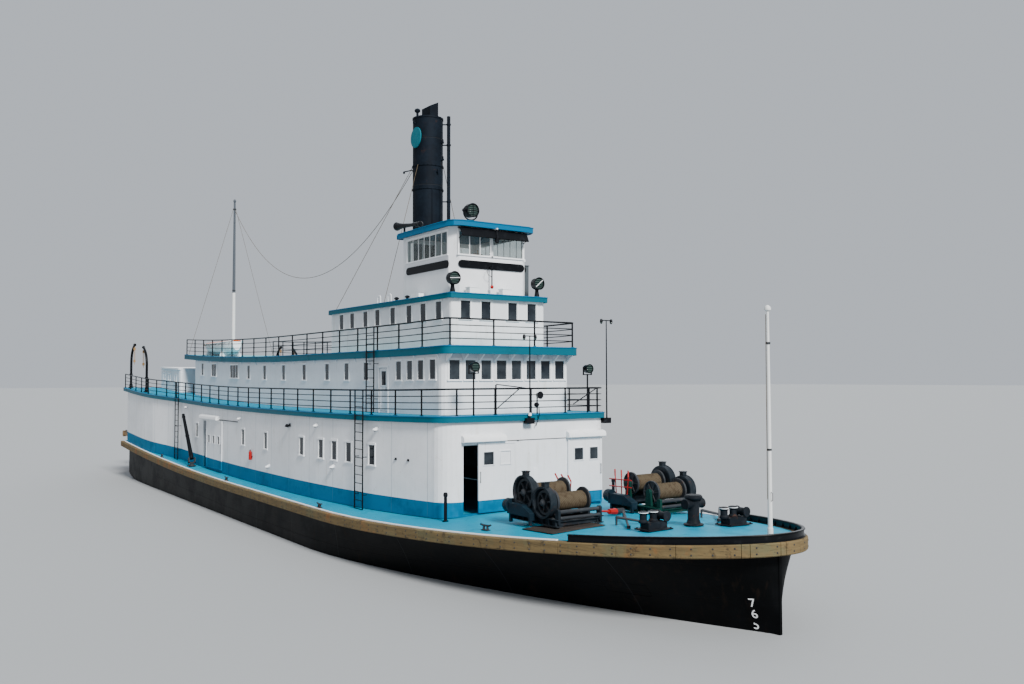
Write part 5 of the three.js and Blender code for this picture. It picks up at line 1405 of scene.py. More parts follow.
def horn(dark, white):
    """Air horn on the starboard side of the pilothouse roof, its bell towards the stern."""
    foot, mouth = Vector((-18.6, -1.95, 14.6)), Vector((-20.65, -1.95, 14.78))
    dark.turned(foot, mouth - foot, [(0, 0.06), (0.02, 0.1), (0.4, 0.11), (0.42, 0.08), (0.9, 0.09),
        (1.5, 0.12), (1.9, 0.17), (2.02, 0.21), (2.05, 0.21), (2.05, 0.18), (1.9, 0.13)], 24)
    dark.turned(foot - Vector((-0.05, 0, 0)), foot - mouth, [(0, 0.06), (0.04, 0.13), (0.2, 0.13),
        (0.26, 0.08)], 18)
    for x in (-19.9, -19.0):
        z = pilot_roof_z(x)
        white.block(about(x, 0.04), (-2.05, -1.85), (z, z + 0.03))
        dark.block(about(x, 0.03), (-1.99, -1.91), (z + 0.02, 14.58 + (-18.6 - x) * 0.088 + 0.02))


def pilothouse_gear():
    black, white, dark, red = shapes(4)
    stadium(black, wall_frame(PILOT["front"], 0, 12.5, (1, 0)), 1.72, 0.34, 0.05)
    for side in (-1, 1):
        stadium(black, wall_frame(-17.65, side * PILOT["half"], 12.5, (0, side)), 1.9, 0.34, 0.05)
    black.move()
    visor(black)
    horn(dark, white)
    white.block((-15.42, -15.0), (-0.03, 0.03), (14.06, 14.12))
    dark.bar((-15.05, 0.0, 14.08), (-15.02, 0.0, 13.62), 0.02, sides=8)
    dark.turned((-15.02, 0.0, 13.66), DOWN, [(0, 0.05), (0.03, 0.1), (0.16, 0.1), (0.2, 0.06)], 14)
    dark.bar((-15.2, -0.16, 12.52), (-15.2, -0.16, 11.62), 0.03, sides=8)
    dark.bar((-15.38, -0.16, 12.45), (-15.18, -0.16, 12.45), 0.045, sides=8)
    dark.pipe([(-15.2, -0.2, 12.5), (-15.16, -0.38, 12.4), (-15.14, -0.45, 12.22), (-15.16, -0.38, 12.06),
        (-15.2, -0.2, 12.0)], 0.012, 6)
    red.turned((-15.2, -0.16, 11.63), DOWN, [(0, 0.02), (0.015, 0.05), (0.04, 0.07), (0.08, 0.08),
        (0.12, 0.07), (0.145, 0.05), (0.16, 0.02)], 16)
    roof = fourth_z(-15.1)
    for y0, y1 in ((-1.44, -0.94), (0.25, 0.73)):
        white.block((-15.3, -14.96), (y0, y1), (roof, roof + 0.27))
        white.block((-15.32, -14.94), (y0 - 0.02, y1 + 0.02), (roof + 0.27, roof + 0.3))
    roof = fourth_z(-18.0)
    white.block((-18.4, -17.7), (-2.4, -2.15), (roof, roof + 0.2))
    for side in (-1, 1):
        for x in (-21.7, -20.6):
            y, foot = side * 2.35, fourth_z(x)
            hoop = [(x - 0.16, y, foot), (x - 0.16, y, foot + 0.3), (x - 0.1, y, foot + 0.38),
                (x + 0.1, y, foot + 0.38), (x + 0.16, y, foot + 0.3), (x + 0.16, y, foot)]
            white.pipe(hoop, 0.022, 8)
        for x in (-20.0, -18.95):
            dark.turned((x, side * 2.3, fourth_z(x)), UP, [(0, 0.07), (0.1, 0.07), (0.1, 0.12), (0.15, 0.12),
                (0.2, 0.06)], 14)
        z, x, y = pilot_roof_z(-20.1), -20.05, side * 1.8
        white.pipe([(x, y, z - 0.2), (x - 0.05, y, z - 0.45), (x - 0.02, y, z - 0.7),
            (PILOT["back"] - 0.03, y, z - 0.95), (PILOT["back"] - 0.03, y, fourth_z(x) + 0.05)], 0.035, 8)
    cabinet, roof = Shape(), fourth_z(-16.2)
    cabinet.block((-16.4, -16.02), (2.07, 2.4), (roof, 12.7))
    cabinet.block((-16.43, -15.99), (2.05, 2.42), (12.7, 12.75))
    cabinet.become("signal_locker", ENGINE, bevel=0.01)
    black.become("name_boards_and_visor", BLACK)
    white.become("roof_boxes_and_pipes", TRIM)
    dark.become("horn_and_vents", LAMP)
    red.become("signal_ball", RED)


def steering_wheel():
    """Spoked wheel, console and lever stands inside the pilothouse."""
    wood, metal = Shape(), Shape()
    floor = fourth_z(-16.5) + 0.01
    x, z, r = -16.6, 12.55, 0.62
    ring = [(x, r * math.cos(a * math.pi / 18), z + r * math.sin(a * math.pi / 18)) for a in range(36)]
    wood.pipe(ring, 0.035, 8, closed=True)
    wood.pipe([(px, py * 0.5, z + (pz - z) * 0.5) for px, py, pz in ring], 0.025, 6, closed=True)
    for i in range(8):
        a = math.pi * i / 4
        wood.bar((x, 0.05 * math.cos(a), z + 0.05 * math.sin(a)),
            (x, 0.8 * math.cos(a), z + 0.8 * math.sin(a)), 0.022, 0.018, 8)
    wood.bar((x - 0.3, 0, z), (x + 0.12, 0, z), 0.07, sides=14)
    wood.block((x - 0.4, x - 0.26), (-0.12, 0.12), (floor, z + 0.12))
    wood.block((-15.9, -15.62), (-1.5, 1.5), (floor, 12.6))
    wood.become("steering_wheel", ARM)
    for y in (-1.1, 1.1):
        metal.bar((-16.7, y, floor), (-16.7, y, floor + 0.95), 0.05, 0.04, 12)
        metal.turned((-16.7, y - 0.08, floor + 1.05), TO_PORT, [(0, 0.14), (0.02, 0.16), (0.14, 0.16),
            (0.16, 0.14)], 20)
        metal.bar((-16.7, y, floor + 1.1), (-16.66, y, floor + 1.4), 0.015, sides=8)
    metal.become("engine_telegraphs", BRASS)


# Lamps that turn

def lamps():
    """The searchlight in its fork and the two corner lamps in front of it, each round its own place."""
    x, z = -17.2, 15.2
    arm, low, roof = 0.37, -0.42, pilot_roof_z(x) - z
    yoke, lamp, lens = shapes(3, x, 0, z)
    yoke.turned((0, 0, roof), UP, [(0, 0.16), (0.04, 0.16), (0.06, 0.09), (low - 0.06 - roof, 0.08)], 20)
    fork = [(0, -a, -0.1 - (-0.1 - low) * b) for a, b in arc(1.0, 0, 180, 16)]
    yoke.pipe([(0, -arm, 0.08)] + [(x, y * arm, z) for x, y, z in fork] + [(0, arm, 0.08)], 0.034, 8)
    for k in (-1, 1):
        yoke.bar((0, 0, low - 0.06), (0, k * arm * 0.5, -0.42), 0.02, sides=6)
    for k in (-1, 1):
        yoke.turned((0, k * (arm + 0.05), 0), (0, -k, 0), [(0, 0.06), (0.04, 0.07), (0.09, 0.05)], 14)
    yoke.become("searchlight_fork", LAMP, body="searchlight_yoke", replaces="searchlight_yoke")
    lamp.turned((-0.36, 0, 0), AHEAD, [(0, 0.05), (0.0, 0.14), (0.06, 0.2), (0.18, 0.27), (0.2, 0.3),
        (0.56, 0.3), (0.565, 0.325), (0.6, 0.325), (0.6, 0.285), (0.5, 0.28), (0.42, 0.2), (0.4, 0.05)], 32)
    for i in range(6):
        lamp.bar((-0.3 + 0.05 * i, 0, 0.28), (-0.27 + 0.05 * i, 0, 0.28), 0.06, sides=12)
    for k in (-1, 1):
        lamp.bar((0, k * 0.28, 0), (0, k * 0.33, 0), 0.04, sides=12)
    lens.turned((0.17, 0, 0), AHEAD, [(0, 0.28), (0.02, 0.28), (0.045, 0.18), (0.055, 0.05)], 32)
    for y, z in ((0.285, 0.012), (0.012, 0.285)):
        lamp.block((0.228, 0.238), (-y, y), (-z, z))
    lamp.become("searchlight_drum", LAMP, body="searchlight_lamp", replaces="searchlight_lamp")
    lens.become("searchlight_lens", LENS, body="searchlight_lamp")
    for k, side in SIDES:
        body, face_bar, lens = shapes(3, -15.12, k * 2.2, fourth_z(-15.12) + 0.01)
        body.turned(ORIGIN, UP, [(0, 0.17), (0.03, 0.17), (0.05, 0.12), (0.3, 0.08), (0.36, 0.08)], 18)
        body.turned((-0.2, 0, 0.62), AHEAD, [(0, 0.06), (0.02, 0.18), (0.07, 0.25), (0.12, 0.265),
            (0.38, 0.265), (0.385, 0.285), (0.41, 0.285), (0.41, 0.25), (0.34, 0.24), (0.3, 0.05)], 28)
        for j in (-1, 1):
            body.bar((0, j * 0.05, 0.3), (0, j * 0.28, 0.62), 0.02, sides=8)
        # A white bar across the front of each lamp, leaning 4° on the starboard lamp and 40° on the port one.
        lean = math.radians(4 if side == "s" else 40)
        across, middle = Vector((0, math.cos(lean), math.sin(lean))) * 0.245, Vector((0.205, 0, 0.62))
        face_bar.bar(middle - across, middle + across, 0.016, sides=8)
        lens.turned((0.14, 0, 0.62), AHEAD, [(0, 0.24), (0.02, 0.24), (0.04, 0.15), (0.05, 0.04)], 26)
        node = "corner_light_" + side
        body.become("corner_lamp_" + side, LAMP, body=node, replaces=node)
        face_bar.become("corner_lamp_strap_" + side, TRIM, body=node)
        lens.become("corner_lamp_lens_" + side, LENS, body=node)


# Ladders

def ladder_tree():
    """Rungs at even heights between two stiles, on a line that runs up the middle."""
    tree = Tree("rungs_up_line", Step=0.2, Width=0.2, Stile=0.015, Rung=0.01)
    line = tree.line()
    rung = tree.move(tree.rod(8, "Rung", "Width"), (0.0, math.radians(90), 0.0), "Rotation")
    stile = tree.tube(line, "Stile", 8)
    stiles = [tree.move(stile, tree.axes(X=tree.math("MULTIPLY", "Width", side))) for side in (-0.5, 0.5)]
    return tree.end(*stiles, tree.copies(tree.stops(line)["Points"], rung))


LADDER_WIDTH = 0.78


def ladders(tree):
    brackets = Shape()
    for k, side in SIDES:
        y_main, y_aft = (k * (house_half(x) + 0.2) for x in (-18.4, -45.3))
        for name, x, y, foot, top in (("main", -18.15, y_main, deck_z(-18.4, y_main) + 0.01, 7.1),
                ("upper", -20.3, k * 3.5, second_z(-20.5) + 0.01, 9.95),
                ("aft", -45.3, y_aft, deck_z(-45.3, y_aft) + 0.01, 7.35)):
            line = line_mesh([[(x, y, foot), (x, y, top)]])
            data = tree.run(line, BLACK, Step=0.36, Width=LADDER_WIDTH, Stile=0.032, Rung=0.018)
            node = f"ladder_{name}_{side}"
            settle(node + "_rungs", data, replaces=None if name == "aft" else node)
            wall = y - k * (0.23 if name == "upper" else 0.2)
            for z in (foot + 0.6, foot + 2.2):
                for stile in about(x, LADDER_WIDTH / 2):
                    brackets.block(about(stile, 0.02), (wall, y), (z, z + 0.03))
    brackets.become("ladder_brackets", BLACK)


# Stack, masts and rigging

def rope(name, a, b, radius, sag=0.0, steps=18):
    """A wire or rope between two points at full size; it hangs in a sag when one is given."""
    shares = [i / steps for i in range(steps + 1)]
    line = [Vector(a).lerp(Vector(b), t) - Vector((0, 0, 4 * sag * t * (1 - t))) for t in shares]
    shape = Shape()
    shape.pipe(line, radius, 8)
    piece = shape.become(name, WIRE)


def stack_gear():
    """Bands, damper, steam pipe and fittings of the stack, and the plain round plate on its side."""
    dark, plate = Shape(), Shape()
    x, r, top = -21.15, 0.74, 20.35
    for z in (16.8, 17.95):
        dark.collar((x, 0, z - 0.04), UP, r, r + 0.035, 0.08, 40)
        for i in range(24):
            a = math.tau * i / 24
            px, py = x + (r + 0.03) * math.cos(a), (r + 0.03) * math.sin(a)
            dark.bar((px, py, z), (x + (r + 0.05) * math.cos(a), (r + 0.05) * math.sin(a), z), 0.016, sides=6)
    foot = fourth_z(x) + 0.01
    dark.turned((x, 0, foot), UP, [(0, 0.3), (0, r), (top - foot - 0.08, r), (top - foot - 0.08, r + 0.025),
        (top - foot, r + 0.025), (top - foot, r - 0.04), (top - foot - 1.2, r - 0.06),
        (top - foot - 1.2, 0.3)], 56)
    dark.turned((x, 0, fourth_z(x) + 0.01), UP, [(0, 1.02), (0.05, 1.02), (0.06, 0.92), (0.5, 0.9),
        (0.56, 0.8), (0.62, 0.76)], 40)
    damper = [(-0.11, top - 0.1), (0.34, top - 0.1), (0.34, 21.14), (-0.11, 20.92)]
    dark.skin([[(px, y, z) for y, z in damper] for px in about(x, 0.42)])
    dark.turned((x, -0.59, top - 0.08), UP, [(0, 0.05), (0.3, 0.06), (0.33, 0.12), (0.4, 0.15), (0.48, 0.11),
        (0.52, 0.02)], 18)
    px, py = -20.5, 0.8
    dark.turned((px, py, foot), UP, [(0, 0.18), (0.04, 0.18), (0.06, 0.11), (0.2, 0.09),
        (20.45 - foot, 0.085), (20.46 - foot, 0.07)], 20)
    for z in (13.4, 16.2, 19.0, 20.02):
        dark.collar((px, py, z), UP, 0.08, 0.112, 0.07, 18)
        dark.bar((x + 0.45, 0.5, z + 0.03), (px - 0.05, py - 0.05, z + 0.03), 0.03, sides=8)
    tip = (-22.24, -0.74, 17.84)
    dark.bar((x - 0.5, -0.5, 17.86), tip, 0.03, sides=8)
    dark.turned((tip[0], tip[1], tip[2] - 0.1), UP, [(0, 0.03), (0.02, 0.05), (0.1, 0.05), (0.12, 0.03)], 12)
    for px, py, z in ((-20.6, 0.37, 19.1), (-20.5, 0.09, 17.6), (-20.6, 0.37, 18.26), (-21.1, -0.66, 20.02)):
        out = Vector((px - x, py, 0)).normalized()
        foot = Vector((x, 0, z)) + out * (r - 0.02)
        dark.bar(foot, foot + out * 0.14, 0.06, 0.05, 8)
        dark.bar(foot + out * 0.1, foot + out * 0.1 + Vector((0, 0, 0.16)), 0.035, sides=8)
    for y in (-0.18, 0.3):
        dark.pipe([(x + math.sqrt(0.6 - y * y), y, 12.0), (x + math.sqrt(0.6 - y * y), y, 16.76)], 0.014, 6)
    for i in range(18):
        z = 12.2 + 0.42 * i
        dark.pipe([(x - r + 0.02, 0.16, z), (x - r - 0.12, 0.16, z), (x - r - 0.12, -0.16, z),
            (x - r + 0.02, -0.16, z)], 0.013, 6)
    plate.turned((-20.95, -0.55, 19.28), (0, -1, 0), [(0, 0.2), (0.21, 0.2), (0.21, 0.5), (0.25, 0.5),
        (0.255, 0.44)], 44)
    dark.become("stack_and_steam_pipe", STACK_PAINT, replaces="stack")
    plate.become("stack_plate", PLATE_TEAL)


def mast():
    """White pole with a grey upper half and a truck, round its foot on the third deck."""
    foot = third_z(-50.9) + 0.03
    shape, iron = shapes(2, -50.9, 0, foot)
    top, white = 21.2 - foot, 4.7
    shape.turned(ORIGIN, UP, [(0, 0.2), (0.06, 0.2), (0.1, 0.13), (white, 0.115)], 18)
    shape.turned((0, 0, white), UP, [(0, 0.113), (top - white - 0.25, 0.075)], 18, mark=1)
    truck = [(0, 0.05), (0.03, 0.09), (0.12, 0.11), (0.2, 0.08), (0.25, 0.02)]
    shape.turned((0, 0, top - 0.25), UP, truck, 16, mark=1)
    for z in (14.2, 20.4):
        iron.collar((0, 0, z - foot), UP, 0.1, 0.13, 0.07, 16)
    shape.become("mast_spar", SPAR, MAST_GREY, replaces="mast")
    iron.become("mast_bands", IRON)


def jackstaff():
    foot = deck_z(-0.33, 0) + 0.01
    shape, iron = shapes(2, -0.33, 0, foot)
    top = 9.6 - foot
    shape.turned(ORIGIN, UP, [(0, 0.09), (0.3, 0.085), (0.32, 0.07), (3.4, 0.062), (top, 0.042)], 18)
    truck = [(0, 0.04), (0.02, 0.07), (0.05, 0.1), (0.1, 0.105), (0.16, 0.08), (0.2, 0.02)]
    shape.turned((0, 0, top - 0.02), UP, truck, 18)
    for z, outer in ((0.02, 0.1), (5.4 - foot, 0.075), (8.6 - foot, 0.075)):
        iron.collar((0, 0, z), UP, 0.05, outer, 0.06, 16)
    eye = [(0.075, 3.9), (0.13, 3.93), (0.13, 4.13), (0.075, 4.16)]
    iron.pipe([(x, -0.03, z - foot) for x, z in eye], 0.01, 6)
    shape.become("jackstaff_pole", SPAR, replaces="jackstaff")
    iron.become("jackstaff_bands", IRON)


def rigging():
    rope("aerial_wire", (-50.9, 0.0, 20.4), (-21.78, -0.46, 17.9), 0.014, sag=5.3, steps=40)
    for k, side in SIDES:
        rope("stack_guy_fore_" + side, (-21.15 + 0.3, k * 0.72, 17.95), (-20.9, k * 2.5, 11.12), 0.012)
        rope("stack_guy_aft_" + side, (-21.15 - 0.45, k * 0.62, 17.95), (-26.6, k * 2.4, 11.17), 0.012)
        rope("mast_stay_" + side, (-50.9, k * 0.1, 20.4), (-51.2, k * 3.2, third_z(-51.2) + 0.02), 0.012)
    rope("jackstaff_halyard", (-0.33, -0.09, 9.5), (-0.33, -0.11, 3.95), 0.009)


# Boats, davits and boom

def davits():
    """Four bent arms with their blocks and falls, each round its own foot."""
    for name, x, lean in (("fore", -52.6, -1.1), ("aft", -57.6, 1.1)):
        for k, side in SIDES:
            arm, fall = shapes(2, x, k * 5.82, second_z(x) + 0.03)
            shares = [i / 12 for i in range(1, 13)]
            bend = [(lean * t * t, 0, 1.9 + 2.0 * t * (1 - t) + 1.4 * t * t) for t in shares]
            arm.pipe([ORIGIN, (0, 0, 0.9), (0, 0, 1.9)] + bend, 0.09, 14)
            arm.turned(ORIGIN, UP, [(0, 0.2), (0.05, 0.2), (0.07, 0.13), (0.3, 0.12), (0.32, 0.1)], 18)
            arm.collar((0, 0, 1.0), UP, 0.09, 0.125, 0.09, 18)
            head, way = Vector(bend[-1]), math.copysign(1, lean)
            arm.turned(head - Vector((0.08 * way, 0, 0)), (lean, 0, 0),
                [(0, 0.08), (0.02, 0.11), (0.1, 0.11), (0.13, 0.05)], 14)
            hook = Vector((-0.06 * way, 0, -0.1))
            fall.move(fall.here @ Matrix.Translation(head + hook))
            for drop in (0.12, 1.05):
                fall.block((-0.045, 0.045), (-0.07, 0.07), (-drop - 0.2, -drop))
                fall.bar((0, -0.085, -drop - 0.1), (0, 0.085, -drop - 0.1), 0.02, sides=10)
            for y in (-0.04, 0.0, 0.04):
                fall.bar((0, y, -1.08), (0, y, -0.3), 0.011, sides=6)
            fall.pipe([(0, 0, -1.25), (0, 0, -1.36), (0.05, 0, -1.42), (0.06, 0, -1.34)], 0.014, 6)
            fall.bar((0, 0, -0.13), -hook, 0.016, sides=6)
            body = f"davit_{name}_{side}"
            arm.become(body + "_arm", BLACK, body=body, replaces=body)
            fall.become(body + "_blocks", ARM, body=body)


def lifeboat():
    hull_part, top, gear, rope_part = shapes(4)
    back, front, y, depth = -50.3, -44.2, -1.9, 0.85
    rings, rim = [], []
    steps = 22
    for i in range(steps + 1):
        u = i / steps
        x = back + (front - back) * u
        half = 0.1 + 0.84 * math.sin(math.pi * (0.04 + 0.92 * u)) ** 0.7
        keel = third_z(x) + 0.1 + 0.35 * (2 * u - 1) ** 4
        rail_z = third_z(back) + depth - 0.12 + 0.12 * (2 * u - 1) ** 2
        side = [(half * math.sin(math.radians(a)) ** 0.8,
            keel + (rail_z - keel) * (1 - math.cos(math.radians(a)))) for a in (0.01, 18, 36, 54, 72, 90)]
        ring = side + [(-b, z) for b, z in reversed(side)][:-1]
        rings.append([(x, y + b, z) for b, z in ring])
        rim.append((x, half, rail_z))
    hull_part.skin(rings)
    for k in (-1, 1):
        hull_part.pipe([(x, y + k * half, z) for x, half, z in rim], 0.035, 8)
    cover = []
    for x, half, z in rim:
        crown = 0.16 * (half / 0.94)
        cover.append([(x, y + (half - 0.01) * math.cos(math.radians(a)),
            z + crown * math.sin(math.radians(a))) for a in range(0, 181, 20)] + [(x, y - (half - 0.01) * 0.9,
            z - 0.04), (x, y + (half - 0.01) * 0.9, z - 0.04)])
    top.skin(cover)
    for i, (x, half, z) in enumerate(rim):
        if i % 2 and half > 0.3:
            for k in (-1, 1):
                rope_part.pipe([(x - 0.27, y + k * (half + 0.02), z - 0.03),
                    (x - 0.14, y + k * (half + 0.035), z - 0.12), (x, y + k * (half + 0.035), z - 0.15),
                    (x + 0.14, y + k * (half + 0.035), z - 0.12), (x + 0.27, y + k * (half + 0.02),
                    z - 0.03)], 0.012, 6)
    for x in (-48.8, -45.6):
        floor = third_z(x)
        outline = [(-0.72, 0.01), (0.72, 0.01), (0.72, 0.12), (0.6, 0.42), (0.5, 0.4), (0.3, 0.22),
            (-0.3, 0.22), (-0.5, 0.4), (-0.6, 0.42), (-0.72, 0.12)]
        gear.skin([[(px, y + a, floor + b) for a, b in outline] for px in about(x, 0.06)])
    hull_part.become("lifeboat_hull", TRIM, replaces="lifeboat")
    top.become("lifeboat_canopy", ORANGE, angle=50)
    rope_part.become("lifeboat_becket", WIRE)
    gear.become("lifeboat_chocks", TRIM)


def cheek(x, foot, top, foot_half, top_half, radius, start, steps):
    """Side outline of a bearing cheek with a round head."""
    head = [(x + a, top + b) for a, b in arc(radius, start, 180 - start, steps)]
    return [(x - foot_half, foot), (x + foot_half, foot), (x + top_half, top)] + head + [(x - top_half, top)]


def boom():
    """The side boom and its shoe on the deck, round the boom's pivot."""
    x, y, z = -40.9, -5.75, 2.55
    spar, step = shapes(2, x, y, z)
    head = Vector((-2.1, 0, 2.75))
    length = head.length
    spar.turned(ORIGIN, head, [(0, 0.08), (0.02, 0.12), (0.3, 0.13), (length - 0.2, 0.095),
        (length - 0.02, 0.09), (length, 0.06)], 18)
    for share in (0.08, 0.5, 0.92):
        spar.collar(head * share, head, 0.1, 0.145 - 0.035 * share, 0.08, 18)
    spar.become("boom_spar", BLACK, body="boom", replaces="boom")
    deck = deck_z(x, y) - z
    step.block((-0.25, 0.25), (-0.2, 0.2), (deck + 0.03, deck + 0.09))
    step.turned((0, 0, deck + 0.06), UP, [(0, 0.19), (0.06, 0.17), (0.1, 0.1), (-0.23 - deck, 0.1)], 18)
    step.block((-0.1, 0.1), (-0.21, 0.21), (-0.25, -0.17))
    for k in (-1, 1):
        step.plate(cheek(0, -0.24, 0.02, 0.1, 0.1, 0.1, 20, 6), (k * 0.15, k * 0.21))
        step.bar((0, k * 0.2, 0), (0, k * 0.24, 0), 0.04, sides=8)
    step.bolts(0.18, 0.14, (deck + 0.08, deck + 0.12), 0.025)
    step.become("boom_shoe", IRON, replaces="boom_step")


# Deck gear forward

# Name, place along the skids, height over them and gear radius of each drum
DRUMS = (("fore", 0.66, 0.78, 0.54), ("aft", -0.5, 1.02, 0.6))


def winch_drum(shape):
    """Barrel with its turns of wire between dished flanges with spokes, round its middle."""
    turns, half = 26, 0.64
    shape.bar((0, -0.793, 0), (0, 0.793, 0), 0.07, sides=16)
    wire = [pair for a in (-half + 2 * half * i / turns for i in range(turns))
        for pair in ((a, 0.28), (a + half / turns, 0.315))]
    shape.turned(ORIGIN, TO_PORT, [(-0.68, 0.2)] + wire + [(0.66, 0.28), (0.68, 0.2)], 32, mark=1)
    for k in (-1, 1):
        shape.turned((0, k * 0.66, 0), (0, k, 0), [(0, 0.2), (0.0, 0.43), (0.015, 0.44), (0.07, 0.44),
            (0.085, 0.43), (0.085, 0.4), (0.03, 0.38), (0.03, 0.2)], 36)
        shape.turned((0, k * 0.66, 0), (0, k, 0), [(0.0, 0.13), (0.11, 0.13), (0.12, 0.11)], 20)
        shape.spokes((0, k * 0.71, 0), 6, (0.12, 0.39), 0.028)


def winch_skids(skids):
    for k in (-1, 1):
        beam, bearing = k * 0.92, k * 0.855
        for z in ((0.0, 0.035), (0.225, 0.26)):
            skids.block((-1.4, 1.4), about(beam, 0.13), z)
        skids.block((-1.4, 1.4), about(beam, 0.018), (0.03, 0.23))
        for x in spread(-1.3, 1.3, 0.37):
            skids.block(about(x, 0.012), about(beam, 0.12), (0.03, 0.23))
        end = [(1.2, 0.1), (1.395, 0.1), (1.395, 0.55), (1.36, 0.6), (1.25, 0.6), (1.2, 0.5)]
        skids.plate(end, about(beam, 0.05))
        for _, x, up, _ in DRUMS:
            skids.plate(cheek(x, 0.24, up, 0.17, 0.12, 0.13, 10, 8), about(bearing, 0.05))
            skids.bar((x, bearing - 0.055, up), (x, bearing + 0.055, up), 0.12, sides=18)
            for bolt in about(x, 0.13):
                skids.bar((bolt, bearing, 0.24), (bolt, bearing, 0.29), 0.025, sides=6)
    for x in (-1.26, 0, 1.26):
        skids.block(about(x, 0.1), (-0.92, 0.92), (0.17, 0.2))
        skids.block(about(x, 0.015), (-0.92, 0.92), (0.03, 0.18))


def winch_gears(gears, cover, hand):
    """Rollers at the fore end, and at each drum's end the toothed wheel under its cover."""
    for x, z, r in ((1.3, 0.5, 0.07), (1.37, 0.3, 0.06)):
        gears.turned((x, -0.9, z), TO_PORT, [(0, 0.03), (0.02, 0.03), (0.02, r), (0.05, r + 0.012), (0.08, r),
            (1.72, r), (1.75, r + 0.012), (1.78, r), (1.78, 0.03), (1.8, 0.03)], 16)
    for _, x, z, r in DRUMS:
        start, out = (x, hand * 0.84, z), (0, hand, 0)
        cover.turned(start, out, [(0.0, 0.1), (0.0, r - 0.03), (0.02, r), (0.24, r), (0.26, r + 0.02),
            (0.3, r + 0.02), (0.3, r - 0.05), (0.26, r - 0.06), (0.05, r - 0.06), (0.04, 0.1)], 44)
        cover.block(about(x, 0.1), (hand * 0.88, hand * 1.08), (z + r - 0.03, z + r + 0.14))
        cover.block(about(x, 0.12), (hand * 0.86, hand * 1.1), (z + r + 0.13, z + r + 0.165))
        inner = r - 0.1
        tips, roots, hole = (arc(reach, 0, 360, 72)[:-1] for reach in (inner, inner - 0.02, inner - 0.09))
        teeth = [pair for two in zip(tips[::2], roots[1::2]) for pair in two]
        rows = ((hole, 0.94), (teeth, 0.94), (teeth, 1.02), (hole, 1.02))
        gears.skin([[(x + a, hand * y, z + b) for a, b in ring] for ring, y in rows], closed=True)
        gears.turned(start, out, [(0.03, 0.13), (0.27, 0.13), (0.29, 0.1), (0.33, 0.06)], 20)
        gears.spokes((x, hand * 0.98, z), 6, (0.1, inner - 0.07), 0.035, turn=0.2)


def winch_motor(motor, cover, hand):
    x, z = -1.08, 0.5
    motor.turned((x, hand * 0.75, z), (0, -hand, 0), [(0, 0.1), (0.0, 0.22), (0.04, 0.26), (0.1, 0.27),
        (0.95, 0.27), (1.02, 0.25), (1.08, 0.2), (1.1, 0.08)], 28)
    for a, b in arc(0.272, 0, 360, 16)[:-1]:
        motor.bar((x + a, hand * 0.63, z + b), (x + a, -hand * 0.23, z + b), 0.014, sides=6)
    motor.block((-1.3, -0.86), (hand * 0.65, -hand * 0.25), (0.2, 0.28))
    motor.block((-1.17, -0.99), (-0.12, 0.12), (0.74, 0.86))
    lid = [(-1.28, 0.28), (-0.35, 0.28), (-0.35, 0.6), (-0.98, 0.74), (-1.28, 0.74)]
    cover.plate(lid, (hand * 0.94, hand * 1.13))
    for x in (-1.13, -0.93, -0.73):
        cover.bar((x, hand * 1.12, z), (x, hand * 1.16, z), 0.03, sides=10)


def winch(side, x, y, hand, finish):
    """A towing winch, round the middle of its deck plate; hand is the side of its gears."""
    floor = deck_z(x, y) + 0.1
    skids, cover, gears, motor, red, box = shapes(6, x, y, floor)
    winch_skids(skids)
    winch_gears(gears, cover, hand)
    winch_motor(motor, cover, hand)
    for foot, lean in ((-1.05, -0.1), (-0.77, 0.0), (-0.49, 0.12)):
        red.bar((foot, -hand * 0.98, 0.26), (foot + lean, -hand * 0.98, 1.3), 0.022, sides=8)
        red.bar((foot + lean, -hand * 0.98, 1.28), (foot + lean - 0.1, -hand * 0.9, 1.52), 0.03, sides=8)
    if side == "p":
        for up in (0.86, 1.14):
            red.bar((-1.45, -1.02, up), (-0.15, -1.02, up + 0.03), 0.022, sides=8)
    box.turned((-1.52, -1.16, 0.5), AHEAD, [(0, 0.05), (0.02, 0.16), (0.07, 0.22), (0.14, 0.25), (0.36, 0.25),
        (0.36, 0.1)], 26)
    box.plate([(-1.2, 0.22), (0.2, 0.22), (0.2, 0.36), (-0.3, 0.6), (-1.2, 0.62)], (-1.33, -1.01))
    for start in (-1.1, 0.1):
        box.block((start, start + 0.1), (-1.31, -0.8), (0.1, 0.22))
        box.block((start, start + 0.1), (-1.31, -1.21), (-0.07, 0.1))
    box.become(f"winch_control_case_{side}", WINCH_BLUE, bevel=0.006)
    skids.become(f"winch_skids_{side}", finish, replaces="winch_frame_" + side, bevel=0.003)
    cover.become(f"winch_covers_{side}", WINCH_DARK, bevel=0.003)
    gears.become(f"winch_gears_{side}", IRON)
    motor.become(f"winch_motor_{side}", WINCH_DARK)
    red.become(f"winch_levers_{side}", RED)
    for part, dx, up, _ in DRUMS:
        drum, = shapes(1, x + dx, y, floor + up)
        winch_drum(drum)
        body = f"winch_drum_{part}_{side}"
        drum.become(body + "_reel", IRON, WIRE, body=body, replaces=body)


def cleat(shape, x, y, turn):
    shape.move(Matrix.Translation((x, y, deck_z(x, y))) @ Matrix.Rotation(math.radians(turn), 4, "Z"))
    shape.block((-0.16, 0.16), (-0.08, 0.08), (0.0, 0.03))
    for k in (-1, 1):
        shape.bar((k * 0.1, 0, 0.02), (k * 0.08, 0, 0.16), 0.05, 0.035, 10)
    shape.pipe([(-0.25, 0, 0.2), (-0.15, 0, 0.175), (0, 0, 0.17), (0.15, 0, 0.175), (0.25, 0, 0.2)], 0.035,
        10)


